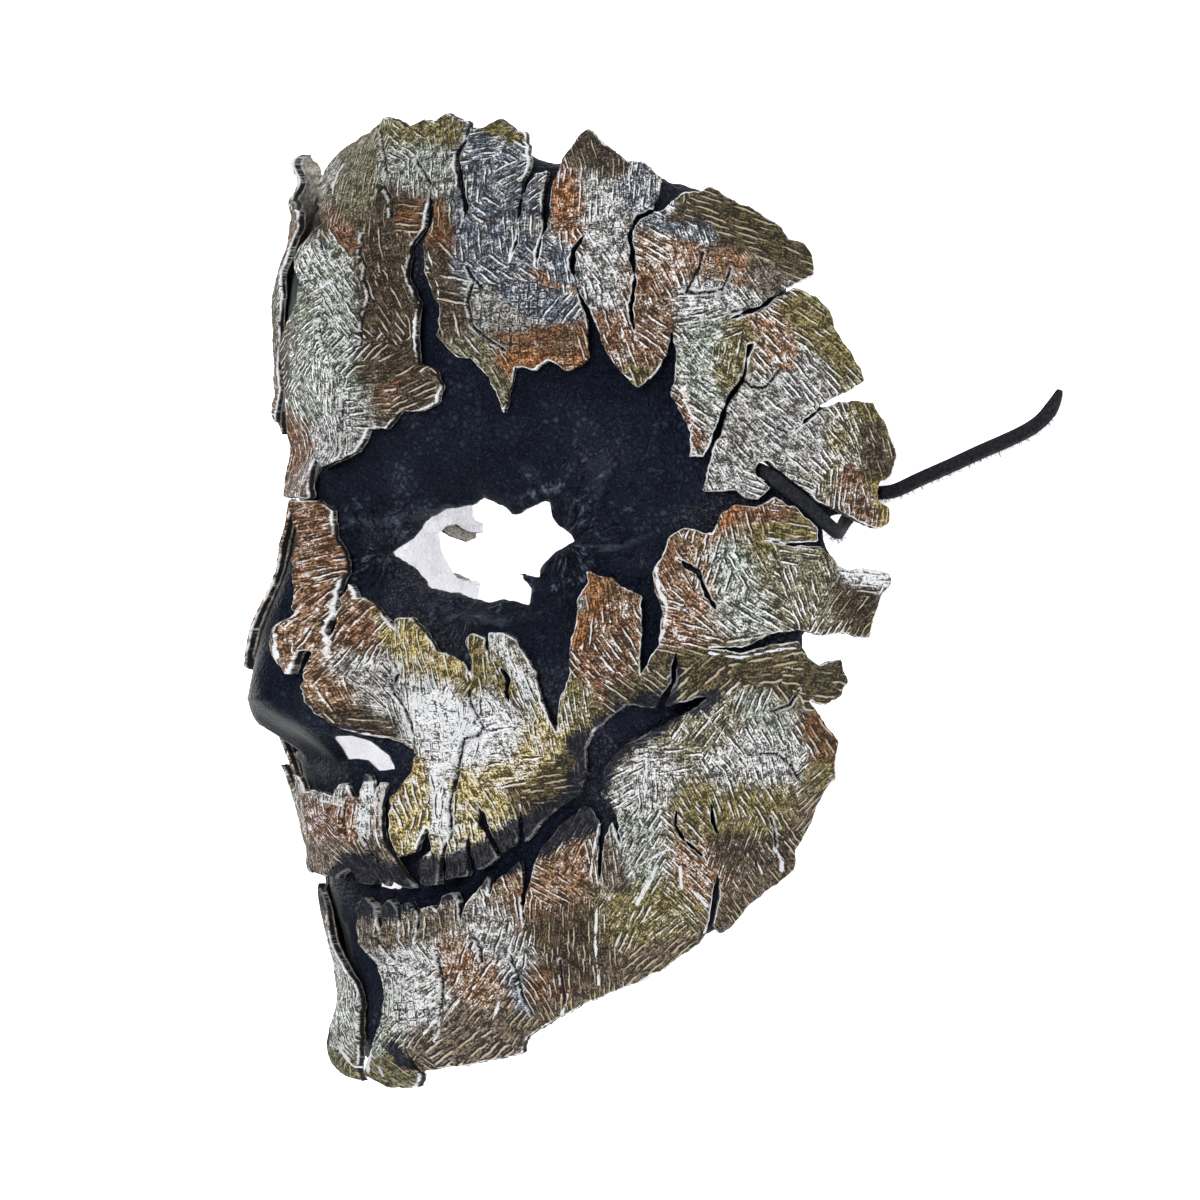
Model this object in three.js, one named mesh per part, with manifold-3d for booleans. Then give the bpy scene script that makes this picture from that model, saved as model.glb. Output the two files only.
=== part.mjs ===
// A leather full face mask: a black moulded under-mask that carries torn, tooled outer sheets of
// thick leather like cracked bark, and a flat leather lace. It lies on its back rim, nose up.
import * as THREE from "three";
import { mergeVertices } from "three/addons/utils/BufferGeometryUtils.js";
import Module from "manifold-3d";

const wasm = await Module();
wasm.setup();

// Driving sizes in millimetres and degrees. The face is worked out upright, with x to the wearer's
// left, y up and z out of the nose, and is then laid on its back rim.
const UNDER_THICKNESS = 2.6;
const SHEET_THICKNESS = 2.4;
const SHEET_CLEARANCE = 0.4;
const FLOOR_CLEARANCE = 0.5;
const REST_TILT = 6;
const FACE_PLACE = new THREE.Vector3(-0.1, 8.75, -5.2);
const REFERENCE_RADIUS = 92;

// Depth of the face on its middle line and half its width, each as [height, size].
const FRONT_PROFILE = [
  [-124, 80], [-116, 85], [-108, 88], [-94, 89.5], [-84, 92], [-74, 94], [-66, 95],
  [-58, 97], [-44, 101.5], [-25, 104], [0, 105], [15, 106], [25, 106], [36, 101.5],
  [49, 103], [60, 105], [72, 105.5], [84, 103], [98, 96.5], [108, 90], [120, 81],
];
const HALF_WIDTHS = [
  [-124, 34], [-110, 46], [-93, 56], [-81, 63], [-63, 72], [-39, 81], [-24, 86],
  [0, 90.5], [20, 92], [52, 91.5], [75, 89], [92, 84], [105, 77], [120, 66],
];
const KEEL_HEIGHTS = [[-124, 9], [-70, 8], [-20, 4], [40, 6], [120, 6]];
const KEEL_DEGREES = 20;

const NOSE = { top: 34, tip: -24, root: -40, height: 17, ridgeWidth: 6.5, tipWidth: 15 };
const NOSE_WING = { x: 13, y: -30, wide: 7, tall: 8, height: 6 };

// Hollows and swellings of the face, each with its place, its reach and its height.
const FORMS = [
  { x: 36, y: 40, wide: 22, tall: 11, height: 3.5 },
  { x: 36, y: 12, wide: 22, tall: 17, height: -13 },
  { x: 62, y: -18, wide: 24, tall: 17, height: 5 },
  { x: 48, y: -50, wide: 20, tall: 18, height: -5 },
  { x: 0, y: -62, wide: 30, tall: 16, height: 3 },
  { x: 0, y: -102, wide: 20, tall: 12, height: 3 },
];

const toRadians = THREE.MathUtils.degToRad;
const toDegrees = THREE.MathUtils.radToDeg;

function smoothStep(from, to, value) {
  const t = THREE.MathUtils.clamp((value - from) / (to - from), 0, 1);
  return t * t * (3 - 2 * t);
}

// A smooth curve through rows of [place, size], with slopes taken from the neighbours.
function sizeAt(rows, place) {
  const last = rows.length - 1;
  const slope = (i) => {
    const a = rows[Math.max(i - 1, 0)];
    const b = rows[Math.min(i + 1, last)];
    return (b[1] - a[1]) / (b[0] - a[0]);
  };
  let i = rows.findIndex((row) => row[0] >= place) - 1;
  if (i === -2) i = last - 1;
  i = THREE.MathUtils.clamp(i, 0, last - 1);
  const span = rows[i + 1][0] - rows[i][0];
  const t = THREE.MathUtils.clamp((place - rows[i][0]) / span, -0.5, 1.5);
  const t2 = t * t;
  const t3 = t2 * t;
  return (2 * t3 - 3 * t2 + 1) * rows[i][1] + (t3 - 2 * t2 + t) * span * slope(i)
    + (3 * t2 - 2 * t3) * rows[i + 1][1] + (t3 - t2) * span * slope(i + 1);
}

// Distance of the under-mask's outer face from the upright axis, at an angle from the nose.
function radiusAt(degrees, y) {
  const phi = toRadians(degrees);
  const keel = sizeAt(KEEL_HEIGHTS, y);
  const front = sizeAt(FRONT_PROFILE, y) - keel;
  const half = sizeAt(HALF_WIDTHS, y);
  let r = 1 / Math.hypot(Math.sin(phi) / half, Math.cos(phi) / front);
  r += keel * Math.exp(-((degrees / KEEL_DEGREES) ** 2));
  const x = Math.abs(r * Math.sin(phi));
  const rise = y > NOSE.tip
    ? smoothStep(NOSE.top, NOSE.tip, y)
    : smoothStep(NOSE.root, NOSE.tip + 2, y);
  const width = NOSE.ridgeWidth + (NOSE.tipWidth - NOSE.ridgeWidth) * smoothStep(26, NOSE.tip, y);
  r += NOSE.height * rise * Math.exp(-((x / width) ** 2));
  r += swell(NOSE_WING, x, y);
  const facing = smoothStep(95, 70, Math.abs(degrees));
  return r + facing * FORMS.reduce((sum, form) => sum + swell(form, x, y), 0);
}

function swell(form, x, y) {
  return form.height * Math.exp(-(((x - form.x) / form.wide) ** 2) - ((y - form.y) / form.tall) ** 2);
}

function facePoint(degrees, y, lift = 0) {
  const r = radiusAt(degrees, y) + lift;
  return new THREE.Vector3(r * Math.sin(toRadians(degrees)), y, r * Math.cos(toRadians(degrees)));
}

// The side drawing: a picture plane square to a line of sight from the wearer's left front. Its
// places run right and down from the top left corner, DRAWING_SCALE millimetres to a step.
const SIGHT_DEGREES = 57;
const SIGHT_DISTANCE = 850;
const SIGHT_CENTRE = new THREE.Vector3(34.5, 0, 45);
const DRAWING_SCALE = 0.2423;
const DRAWING_MIDDLE = 600;
const sight = new THREE.Vector3(Math.sin(toRadians(SIGHT_DEGREES)), 0, Math.cos(toRadians(SIGHT_DEGREES)));
const rightward = new THREE.Vector3(sight.z, 0, -sight.x);
const eye = SIGHT_CENTRE.clone().addScaledVector(sight, SIGHT_DISTANCE);

// The [degrees, height] where the line of sight through a place of the drawing meets the face.
function onFace([across, down], lift) {
  const ray = sight.clone().multiplyScalar(-SIGHT_DISTANCE)
    .addScaledVector(rightward, (across - DRAWING_MIDDLE) * DRAWING_SCALE);
  ray.y -= (down - DRAWING_MIDDLE) * DRAWING_SCALE;
  ray.normalize();
  const at = (distance) => eye.clone().addScaledVector(ray, distance);
  const polar = (p) => [toDegrees(Math.atan2(p.x, p.z)), p.y];
  const outside = (p) => Math.hypot(p.x, p.z) - radiusAt(...polar(p)) - lift;
  let nearest = SIGHT_DISTANCE - 130;
  let least = Infinity;
  for (let d = SIGHT_DISTANCE - 130; d < SIGHT_DISTANCE + 130; d += 2) {
    const gap = outside(at(d));
    if (gap < least) {
      least = gap;
      nearest = d;
    }
    if (gap < 0) {
      let low = d - 2;
      let high = d;
      for (let k = 0; k < 20; k++) {
        const mid = (low + high) / 2;
        if (outside(at(mid)) < 0) high = mid;
        else low = mid;
      }
      return polar(at(high));
    }
  }
  return polar(at(nearest));
}

// The net: the face as flat triangles between lines of equal angle and equal height. Every sheet
// bends along the same net, so that sheets which lie on each other stay apart.
const FINE_DEGREES = 4.4;
const COARSE_DEGREES = 9;
const FINE_COLUMNS = 5;
const COARSE_COLUMNS = 8;
const columns = [];
for (let i = -FINE_COLUMNS - COARSE_COLUMNS; i <= FINE_COLUMNS + COARSE_COLUMNS; i++) {
  const fine = THREE.MathUtils.clamp(i, -FINE_COLUMNS, FINE_COLUMNS);
  columns.push(fine * FINE_DEGREES + (i - fine) * COARSE_DEGREES);
}
const rows = [
  -128, -115, -103, -91, -80, -70, -60, -50, -42, -36, -30, -23, -13, -2, 9, 19, 29, 39, 51, 64,
  78, 92, 104, 114, 124,
];
const STEEPEST = 1.9;

// A point of the net and the way a millimetre of thickness goes there: straight out from the
// upright axis, and longer where the face slopes away.
const net = rows.map((y) => columns.map((degrees) => {
  const d = 0.6;
  const point = facePoint(degrees, y);
  const across = facePoint(degrees + d, y).sub(facePoint(degrees - d, y));
  const up = facePoint(degrees, y + d).sub(facePoint(degrees, y - d));
  const normal = across.cross(up).normalize();
  const out = new THREE.Vector3(Math.sin(toRadians(degrees)), 0, Math.cos(toRadians(degrees)));
  const stretch = Math.min(1 / Math.abs(normal.dot(out)), STEEPEST);
  return { point, growth: out.multiplyScalar(stretch) };
}));

// Flat leather coordinates: arc length at the reference radius, and height.
const ARC = toRadians(REFERENCE_RADIUS);
const flat = ([degrees, y]) => new THREE.Vector2(degrees * ARC, y);

// The flat leather is bent very slightly while it is cut, so that each triangle of the net keeps
// a plane of its own.
const CUT_BEND = 1500;
const bendAt = (s, t) => (s * s + t * t + 0.37 * s * t) / CUT_BEND;

// The cell of the net under a flat place, with the weights of its corners.
function cellAt(s, t) {
  const column = columns.findIndex((degrees) => degrees * ARC > s);
  const row = rows.findIndex((y) => y > t);
  const i = (column < 1 ? columns.length - 1 : column) - 1;
  const j = (row < 1 ? rows.length - 1 : row) - 1;
  const a = (s / ARC - columns[i]) / (columns[i + 1] - columns[i]);
  const b = (t - rows[j]) / (rows[j + 1] - rows[j]);
  const corners = a >= b
    ? [[i, j, 1 - a], [i + 1, j, a - b], [i + 1, j + 1, b]]
    : [[i, j, 1 - b], [i, j + 1, b - a], [i + 1, j + 1, a]];
  return corners;
}

// Lays a point of the cut leather on the face and tips the face back onto its rim.
const tilt = new THREE.Euler(toRadians(REST_TILT), 0, 0);
function laid(s, t, depth) {
  let thick = depth;
  const place = new THREE.Vector3();
  const growth = new THREE.Vector3();
  for (const [i, j, weight] of cellAt(s, t)) {
    thick -= weight * bendAt(columns[i] * ARC, rows[j]);
    place.addScaledVector(net[j][i].point, weight);
    growth.addScaledVector(net[j][i].growth, weight);
  }
  return place.addScaledVector(growth, thick).applyEuler(tilt).add(FACE_PLACE);
}

// The same for a place that isn't cut leather, at a depth measured from the under-mask's face.
function laidPlace([degrees, y], depth) {
  const s = degrees * ARC;
  const bend = cellAt(s, y).reduce(
    (sum, [i, j, weight]) => sum + weight * bendAt(columns[i] * ARC, rows[j]), 0);
  return laid(s, y, depth + bend);
}

// The point of the floor, raised by a height, that the line of sight through a place meets.
function onFloor([across, down], height) {
  const aim = SIGHT_CENTRE.clone().addScaledVector(rightward, (across - DRAWING_MIDDLE) * DRAWING_SCALE);
  aim.y -= (down - DRAWING_MIDDLE) * DRAWING_SCALE;
  const from = eye.clone().applyEuler(tilt).add(FACE_PLACE);
  const ray = aim.applyEuler(tilt).add(FACE_PLACE).sub(from);
  return from.addScaledVector(ray, (height - from.z) / ray.z);
}

function solidOf(geometry) {
  const bare = new THREE.BufferGeometry();
  bare.setAttribute("position", geometry.getAttribute("position"));
  if (geometry.index) bare.setIndex(geometry.index);
  const merged = mergeVertices(bare, 1e-4);
  return new wasm.Manifold(new wasm.Mesh({
    numProp: 3,
    vertProperties: merged.attributes.position.array,
    triVerts: new Uint32Array(merged.index.array),
  }));
}

function geometryOf(solid) {
  const mesh = solid.getMesh();
  const position = new Float32Array(mesh.numVert * 3);
  for (let v = 0; v < mesh.numVert; v++) {
    position.set(mesh.vertProperties.subarray(v * mesh.numProp, v * mesh.numProp + 3), v * 3);
  }
  const geometry = new THREE.BufferGeometry();
  geometry.setAttribute("position", new THREE.BufferAttribute(position, 3));
  geometry.setIndex(new THREE.BufferAttribute(new Uint32Array(mesh.triVerts), 1));
  return geometry;
}

// The whole flat leather between two depths, before its outline is cut.
function hide(innerAt, outerAt) {
  const position = [];
  const index = [];
  const wide = columns.length;
  const tall = rows.length;
  for (const depthAt of [outerAt, innerAt]) {
    for (let j = 0; j < tall; j++) {
      for (let i = 0; i < wide; i++) {
        const s = columns[i] * ARC;
        position.push(s, rows[j], depthAt(columns[i], rows[j]) + bendAt(s, rows[j]));
      }
    }
  }
  const under = wide * tall;
  for (let j = 0; j < tall - 1; j++) {
    for (let i = 0; i < wide - 1; i++) {
      const a = j * wide + i;
      const b = a + 1;
      const c = a + wide + 1;
      const d = a + wide;
      index.push(a, b, c, a, c, d);
      index.push(under + a, under + c, under + b, under + a, under + d, under + c);
    }
  }
  const border = [];
  for (let i = 0; i < wide - 1; i++) border.push(i);
  for (let j = 0; j < tall - 1; j++) border.push(j * wide + wide - 1);
  for (let i = wide - 1; i > 0; i--) border.push((tall - 1) * wide + i);
  for (let j = tall - 1; j > 0; j--) border.push(j * wide);
  border.forEach((a, k) => {
    const b = border[(k + 1) % border.length];
    index.push(a, under + a, under + b, a, under + b, b);
  });
  const geometry = new THREE.BufferGeometry();
  geometry.setAttribute("position", new THREE.Float32BufferAttribute(position, 3));
  geometry.setIndex(index);
  return solidOf(geometry);
}

const KNIFE_REACH = 60;

// A straight knife cut of an outline through the flat leather.
function knife(outline) {
  const shape = new THREE.Shape(outline.map(flat));
  const geometry = new THREE.ExtrudeGeometry(shape, { depth: 2 * KNIFE_REACH, bevelEnabled: false });
  geometry.translate(0, 0, -KNIFE_REACH);
  return solidOf(geometry);
}

// The outline of a crack: a middle line with its width at each point, pointed where it ends.
function crackOutline(line) {
  const points = line.map(([across, down]) => new THREE.Vector2(across, down));
  const side = (sign) => points.map((p, k) => {
    const before = points[Math.max(k - 1, 0)];
    const after = points[Math.min(k + 1, points.length - 1)];
    const along = after.clone().sub(before).normalize();
    const half = (sign * line[k][2]) / 2;
    return [p.x - along.y * half, p.y + along.x * half];
  });
  return [...side(1), ...side(-1).reverse()];
}

// Torn edges, as places of the side drawing, clockwise. The edges that run along the middle of the
// face can't be drawn from that side and are given in [degrees, height].
const FOREHEAD_EDGE = [
  [318, 179], [331, 163], [346, 150], [356, 139], [368, 133], [383, 123], [388, 117], [400, 119],
  [413, 128], [430, 120], [441, 122], [452, 113], [463, 121], [474, 121], [479, 130], [490, 128],
  [501, 119], [514, 128], [526, 134], [530, 152], [531, 163], [523, 182], [529, 184], [536, 174],
  [546, 172], [547, 184], [558, 166], [566, 154], [580, 136], [590, 128], [600, 140], [613, 150],
  [627, 161], [643, 161], [663, 179], [657, 198], [651, 214], [663, 210], [681, 193], [698, 192],
  [711, 186], [733, 200], [760, 214], [779, 226], [785, 240], [801, 243], [810, 254], [813, 276],
  [800, 282], [789, 289], [800, 288], [818, 299], [830, 312], [837, 334], [848, 352], [864, 382],
  [845, 392], [822, 405], [790, 434], [824, 409], [842, 401], [872, 403], [882, 420], [894, 457],
  [888, 477], [879, 483], [877, 492], [880, 501], [891, 508], [890, 523], [880, 530], [866, 526], [850, 517], [832, 508],
  [812, 498], [790, 485], [772, 487], [757, 500], [745, 498], [735, 491], [703, 491], [708, 470],
  [712, 452], [720, 436], [725, 417], [731, 401], [745, 380], [748, 358], [758, 338], [746, 345],
  [742, 376], [726, 397], [716, 424], [704, 458], [690, 457], [690, 437], [684, 418], [669, 393],
  [676, 374], [677, 356], [671, 329], [668, 352], [655, 374], [638, 388], [621, 373], [604, 348],
  [595, 320], [580, 290], [574, 268], [576, 252], [593, 223], [582, 236], [570, 250], [569, 268],
  [576, 290], [586, 314], [588, 359], [566, 371], [548, 360], [534, 370], [512, 366], [504, 415],
  [497, 396], [487, 380], [467, 357], [455, 358], [441, 336], [443, 306], [427, 272], [424, 242],
  [433, 214], [431, 185], [426, 205], [421, 227], [409, 246], [407, 276], [422, 302], [419, 345],
  [421, 363], [438, 372], [441, 388], [436, 401], [420, 410], [398, 412], [384, 428], [368, 429],
  [356, 452], [343, 460], [325, 467], [316, 458], [314, 470], [312, 498],
];
const FOREHEAD_SEAM = [
  [-6, 25], [-7, 33], [-8, 42], [-9, 52], [-9, 62], [-4, 68], [-1, 72], [-0.5, 77], [-2.5, 80.5],
  [-3.5, 84], [-2, 88], [-1.5, 92], [-3, 95.5], [-8, 98.5], [-13.5, 101.5],
];
const FAR_FOREHEAD_SEAM = [
  [-24, 107.5], [-21, 105], [-20, 110], [-18.2, 112], [-17.6, 106], [-17, 101.5], [-12, 97],
  [-6, 95], [-5, 91], [-7.5, 86], [-9, 79], [-10, 73], [-11, 67], [-13, 62], [-14, 54],
  [-14, 44],
];
const FAR_FOREHEAD_END = -25;

const CHEEK_EDGE = [
  [303, 501], [316, 500], [329, 511], [332, 536], [342, 552], [347, 573], [340, 590],
  [336, 612], [330, 632], [330, 655], [337, 628], [343, 602], [350, 582], [358, 598],
  [374, 602], [380, 613], [396, 631], [393, 618], [412, 618], [423, 629], [436, 652],
  [452, 655], [464, 665], [472, 678], [470, 660], [463, 640], [469, 633], [482, 639],
  [489, 662], [487, 632], [500, 631], [516, 640], [530, 665], [536, 676], [540, 700],
  [558, 738], [559, 704], [568, 678], [570, 652], [576, 622], [577, 600], [587, 582],
  [586, 570], [602, 577], [613, 578], [622, 588], [641, 596], [641, 640], [640, 678],
  [648, 660], [659, 643], [662, 612], [655, 592], [653, 574], [661, 556], [670, 536],
  [683, 528], [713, 534], [722, 514], [737, 503], [757, 508], [775, 497], [798, 509],
  [818, 529], [819, 542], [788, 543], [764, 539], [790, 546], [821, 547], [836, 564],
  [850, 572], [862, 568], [882, 573], [885, 583], [876, 592], [871, 614], [868, 639],
  [844, 633], [822, 636], [800, 629], [772, 634], [742, 647], [709, 648], [742, 653],
  [776, 644], [798, 642], [808, 656], [821, 664], [842, 661], [848, 682], [841, 696],
  [826, 704], [810, 701], [834, 741], [831, 764], [835, 779], [824, 794], [813, 821],
  [793, 850], [792, 870], [775, 886], [745, 908], [731, 926], [719, 935], [713, 925],
  [720, 900], [718, 870], [712, 898], [708, 928], [700, 944], [673, 963], [642, 981],
  [597, 998], [558, 1018], [524, 1040], [523, 1053], [483, 1062], [424, 1071], [404, 1041],
  [412, 1065], [424, 1074], [421, 1087],
];
const CHIN_EDGE = [
  [399, 1088], [385, 1085], [370, 1074], [371, 1052], [378, 1024], [381, 990], [372, 962],
  [356, 942], [355, 906],
];
const MOUTH_EDGE = [
  [366, 898], [375, 904], [380, 938], [383, 906], [390, 899], [396, 908], [399, 938],
  [403, 905], [412, 902], [418, 912], [419, 944], [424, 908], [436, 905], [442, 912],
  [447, 895], [458, 890], [463, 900], [465, 925], [470, 905], [489, 876], [490, 895],
  [497, 880], [520, 862], [521, 880], [519, 905], [523, 928], [526, 890], [533, 866],
  [541, 848], [560, 824], [581, 808], [590, 806], [599, 822], [597, 860], [599, 884],
  [603, 858], [605, 835], [612, 822], [621, 848], [617, 815], [600, 794], [604, 770],
  [618, 750], [640, 738], [668, 722], [696, 707], [713, 693], [695, 699], [665, 706],
  [675, 682], [679, 645], [673, 658], [670, 682], [655, 706], [625, 706], [597, 728],
  [584, 748], [587, 775], [580, 794], [560, 806], [535, 828], [523, 845], [518, 800],
  [513, 845], [501, 852], [491, 838], [477, 805], [476, 825], [496, 858], [478, 872],
  [470, 852], [466, 830], [464, 852], [469, 876], [449, 880], [445, 858], [448, 832],
  [440, 853], [442, 884], [427, 884], [424, 860], [434, 850], [428, 825], [419, 850],
  [405, 858], [395, 836], [397, 800], [411, 772], [413, 749], [386, 738],
];
const NOSE_EDGE = [
  [358, 735], [328, 723], [317, 713], [313, 695], [312, 673], [316, 651], [307, 651],
  [297, 677],
];
const BRIDGE_SEAM = [
  [4.8, -15], [3.6, -11], [2.9, -6], [4.2, -4], [3.4, 2], [1.8, 10], [1.4, 16], [0.4, 20], [-0.8, 24],
];
// The far sheet has a chin and a nose edge of its own, in degrees and height.
const FAR_CHIN_EDGE = [
  [-6, -72.5], [-5, -78], [-3.5, -83], [-0.8, -88], [1.6, -93], [2.4, -99], [2.2, -104],
  [1.2, -108.5], [-0.6, -112], [-2, -114.5], [-3, -118],
];
const FAR_NOSE_EDGE = [
  [-2.6, 18], [-2.6, 8], [-2.8, -4], [-4, -12], [-6, -16.5], [-12, -18], [-14.5, -22], [-14.5, -28],
];

const LIP_EDGE = [
  [318, 792], [330, 797], [336, 784], [345, 782], [350, 797], [358, 799], [362, 773], [368, 776],
  [371, 795], [378, 783], [386, 783], [380, 802], [382, 822], [390, 845], [401, 862], [415, 888],
  [402, 887], [392, 879], [386, 887], [379, 878], [373, 884], [361, 882], [352, 868], [338, 878],
];

// The black under-mask ends a little inside the torn edges, and its openings are torn too.
const UNDER_EDGE = [
  [384, 136], [430, 131], [476, 136], [503, 134], [531, 157], [548, 163], [562, 162],
  [590, 148], [620, 166], [650, 172], [668, 181], [697, 188], [728, 202], [758, 219], [778, 232],
  [800, 252], [804, 268], [786, 290], [806, 300], [824, 318], [832, 340], [850, 372], [852, 380],
  [838, 390], [818, 406], [840, 407], [866, 410], [880, 440], [889, 462], [885, 476], [872, 481],
  [869, 492], [872, 505], [886, 509], [884, 518], [866, 520], [848, 512], [834, 516], [824, 526],
  [825, 540], [828, 548], [845, 576],
  [876, 578], [870, 592], [864, 616], [862, 632], [845, 628], [815, 628], [804, 632], [804, 650],
  [818, 669], [836, 668], [842, 682], [834, 693], [815, 697], [806, 706], [826, 742], [824, 764],
  [830, 778], [818, 792], [807, 820], [787, 848], [786, 868], [757, 896], [716, 929], [672, 957],
  [640, 976], [597, 992], [557, 1011], [518, 1034], [516, 1047], [482, 1056], [424, 1064],
  [392, 1076],
];
const EYE_HOLE = [
  [381, 554], [408, 536], [418, 521], [438, 509], [469, 504], [478, 496], [502, 506], [511, 515],
  [546, 500], [554, 522], [575, 540], [549, 556], [539, 569], [538, 578], [516, 572], [528, 588],
  [527, 605], [501, 599], [485, 603], [450, 593], [424, 589], [407, 568],
];
const NOSTRIL = [
  [322, 737], [345, 737], [365, 741], [383, 754], [393, 770], [371, 772], [360, 760], [338, 759],
];
const MOUTH_GAP = [[371, 886], [376, 879], [392, 878], [400, 885], [396, 889], [380, 889]];

// Cracks inside the sheets, as places of the middle line with the width there.
const FOREHEAD_CRACKS = [
  [[477, 118, 5], [474, 142, 4], [464, 154, 5], [460, 168, 7], [461, 186, 6], [466, 205, 5],
    [464, 220, 3], [460, 232, 1]],
  [[527, 178, 7], [521, 195, 4], [519, 215, 3], [519, 240, 3], [508, 268, 1]],
  [[556, 160, 12], [546, 195, 9], [545, 215, 9], [546, 228, 5], [541, 245, 4], [536, 268, 2]],
  [[653, 211, 5], [638, 217, 4], [630, 232, 5], [632, 255, 5], [635, 280, 5], [631, 303, 5],
    [632, 322, 3], [637, 340, 1]],
  [[796, 286, 4], [772, 299, 3], [760, 308, 4], [748, 312, 4], [730, 319, 1]],
];
const CHEEK_CRACKS = [
  [[413, 758, 4], [411, 725, 3], [403, 706, 3], [394, 692, 3], [394, 678, 2], [400, 664, 1]],
  [[676, 558, 1], [688, 567, 5], [698, 572, 4], [705, 590, 5], [716, 609, 3], [727, 605, 1]],
  [[500, 668, 1], [508, 680, 6], [506, 692, 5], [512, 710, 1]],
  [[676, 812, 1], [675, 826, 4], [684, 840, 4], [703, 856, 1]],
  [[710, 802, 2], [713, 820, 5], [719, 838, 1]],
];

// The hole of the lace, and the groove in the torn edges that the lace lies in.
const LACE_HOLE = [766, 471];
const LACE_HOLE_RADIUS = 2.8;
const LACE_GROOVE = [[766, 471, 19], [789, 490, 19], [812, 508, 19], [834, 527, 19]];

// The lace lies in the groove, turns in under the rim, and comes out below it onto the floor.
const LACE_WIDTH = 3.2;
const LACE_THICKNESS = 2.4;
const LACE_SIDES = 8;
const LACE_STEPS = 20;
const LACE_DEPTH = 2.0;
const LACE_ON_FACE = [[768, 473], [778, 481], [789, 490], [800, 498], [812, 508]];
const LACE_IN_RIM = [[93.1, 24.4, 17.3], [91.5, 22.7, 12.5], [88.5, 23.1, 9.7], [85.3, 25.2, 6.5],
  [84.9, 29.2, 3.6], [86.9, 31.9, 1.8], [90.2, 33.6, 1.4]];
const LACE_ON_FLOOR = [[889, 493], [920, 479], [950, 466], [980, 452], [1010, 439], [1035, 426],
  [1048, 414], [1056, 402], [1060, 390]];
const LACE_HEIGHT = 1.35;

const sheetLift = 3;
const onSheet = (places) => places.map((place) => onFace(place, sheetLift));
const onUnder = (places) => places.map((place) => onFace(place, 0));

// The wearer's right side mirrors the left, a little out of true, as handwork is.
const farSide = (outline) => outline
  .map(([degrees, y]) => [
    -degrees - 1.2 * Math.cos(toRadians(degrees)) * Math.sin(y / 13 + 1),
    y + 1.2 * Math.sin(degrees / 9),
  ])
  .reverse();

const HOLE_SIDES = 12;
function roundHole([degrees, y], radius) {
  return Array.from({ length: HOLE_SIDES }, (_, k) => {
    const angle = (2 * Math.PI * k) / HOLE_SIDES;
    return [degrees + (radius * Math.cos(angle)) / ARC, y + radius * Math.sin(angle)];
  });
}

// How far a sheet stands off the under-mask: a slow ripple, and lobes that curl away at the rim.
const CURLS = [
  { degrees: 88, y: 34, reach: 9, height: 1.6 },
  { degrees: 88, y: 4, reach: 8, height: 1.6 },
  { degrees: 84, y: 52, reach: 8, height: 1.4 },
];
const FAR_BROW_CURLS = [
  { degrees: -18, y: 110.5, reach: 5.5, height: 8.5 },
  { degrees: -16, y: 101, reach: 6, height: 4.5 },
  { degrees: -8, y: 95, reach: 6, height: 2 },
];
const FAR_CHIN_CURLS = [{ degrees: -8, y: -113, reach: 9, height: 5 }];
function curlAt(curl, degrees, y) {
  const across = ((degrees - curl.degrees) * ARC) / curl.reach;
  return curl.height * Math.exp(-(across ** 2) - ((y - curl.y) / curl.reach) ** 2);
}
function standOff(degrees, y, ownCurls) {
  const ripple = 0.5 * (1 + Math.sin(degrees / 7) * Math.cos(y / 9));
  const onBothSides = CURLS.reduce((sum, curl) => sum + curlAt(curl, Math.abs(degrees), y), 0);
  const own = ownCurls.reduce((sum, curl) => sum + curlAt(curl, degrees, y), 0);
  return SHEET_CLEARANCE + ripple + onBothSides + own;
}

function laidGeometry(flatSolid) {
  const geometry = geometryOf(flatSolid);
  const position = geometry.getAttribute("position");
  for (let v = 0; v < position.count; v++) {
    const p = laid(position.getX(v), position.getY(v), position.getZ(v));
    position.setXYZ(v, p.x, p.y, p.z);
  }
  return geometry;
}

const FLOOR_SIZE = 600;
const FINEST_EDGE = 0.28;
function cutAtFloor(geometry, height) {
  const below = new THREE.BoxGeometry(FLOOR_SIZE, FLOOR_SIZE, FLOOR_SIZE);
  below.deleteAttribute("normal");
  below.deleteAttribute("uv");
  below.translate(0, 0, height - FLOOR_SIZE / 2);
  return geometryOf(solidOf(geometry).subtract(solidOf(below)).simplify(FINEST_EDGE));
}

function outerSheet(outline, openings, ownCurls = []) {
  const inner = (degrees, y) => standOff(degrees, y, ownCurls);
  const outer = (degrees, y) => inner(degrees, y) + SHEET_THICKNESS;
  const cut = openings.reduce((solid, opening) => solid.subtract(knife(opening)),
    hide(inner, outer).intersect(knife(outline)));
  return cutAtFloor(laidGeometry(cut), FLOOR_CLEARANCE);
}

function underMask() {
  const near = onUnder(UNDER_EDGE);
  const outline = [...near, ...farSide(near)];
  const hole = onFace(LACE_HOLE, sheetLift);
  const openings = [onUnder(EYE_HOLE), onUnder(NOSTRIL), onUnder(MOUTH_GAP), roundHole(hole, LACE_HOLE_RADIUS)];
  const cut = [...openings, ...openings.map(farSide)].reduce(
    (solid, opening) => solid.subtract(knife(opening)),
    hide(() => -UNDER_THICKNESS, () => 0).intersect(knife(outline)));
  return cutAtFloor(laidGeometry(cut), 0);
}

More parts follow.
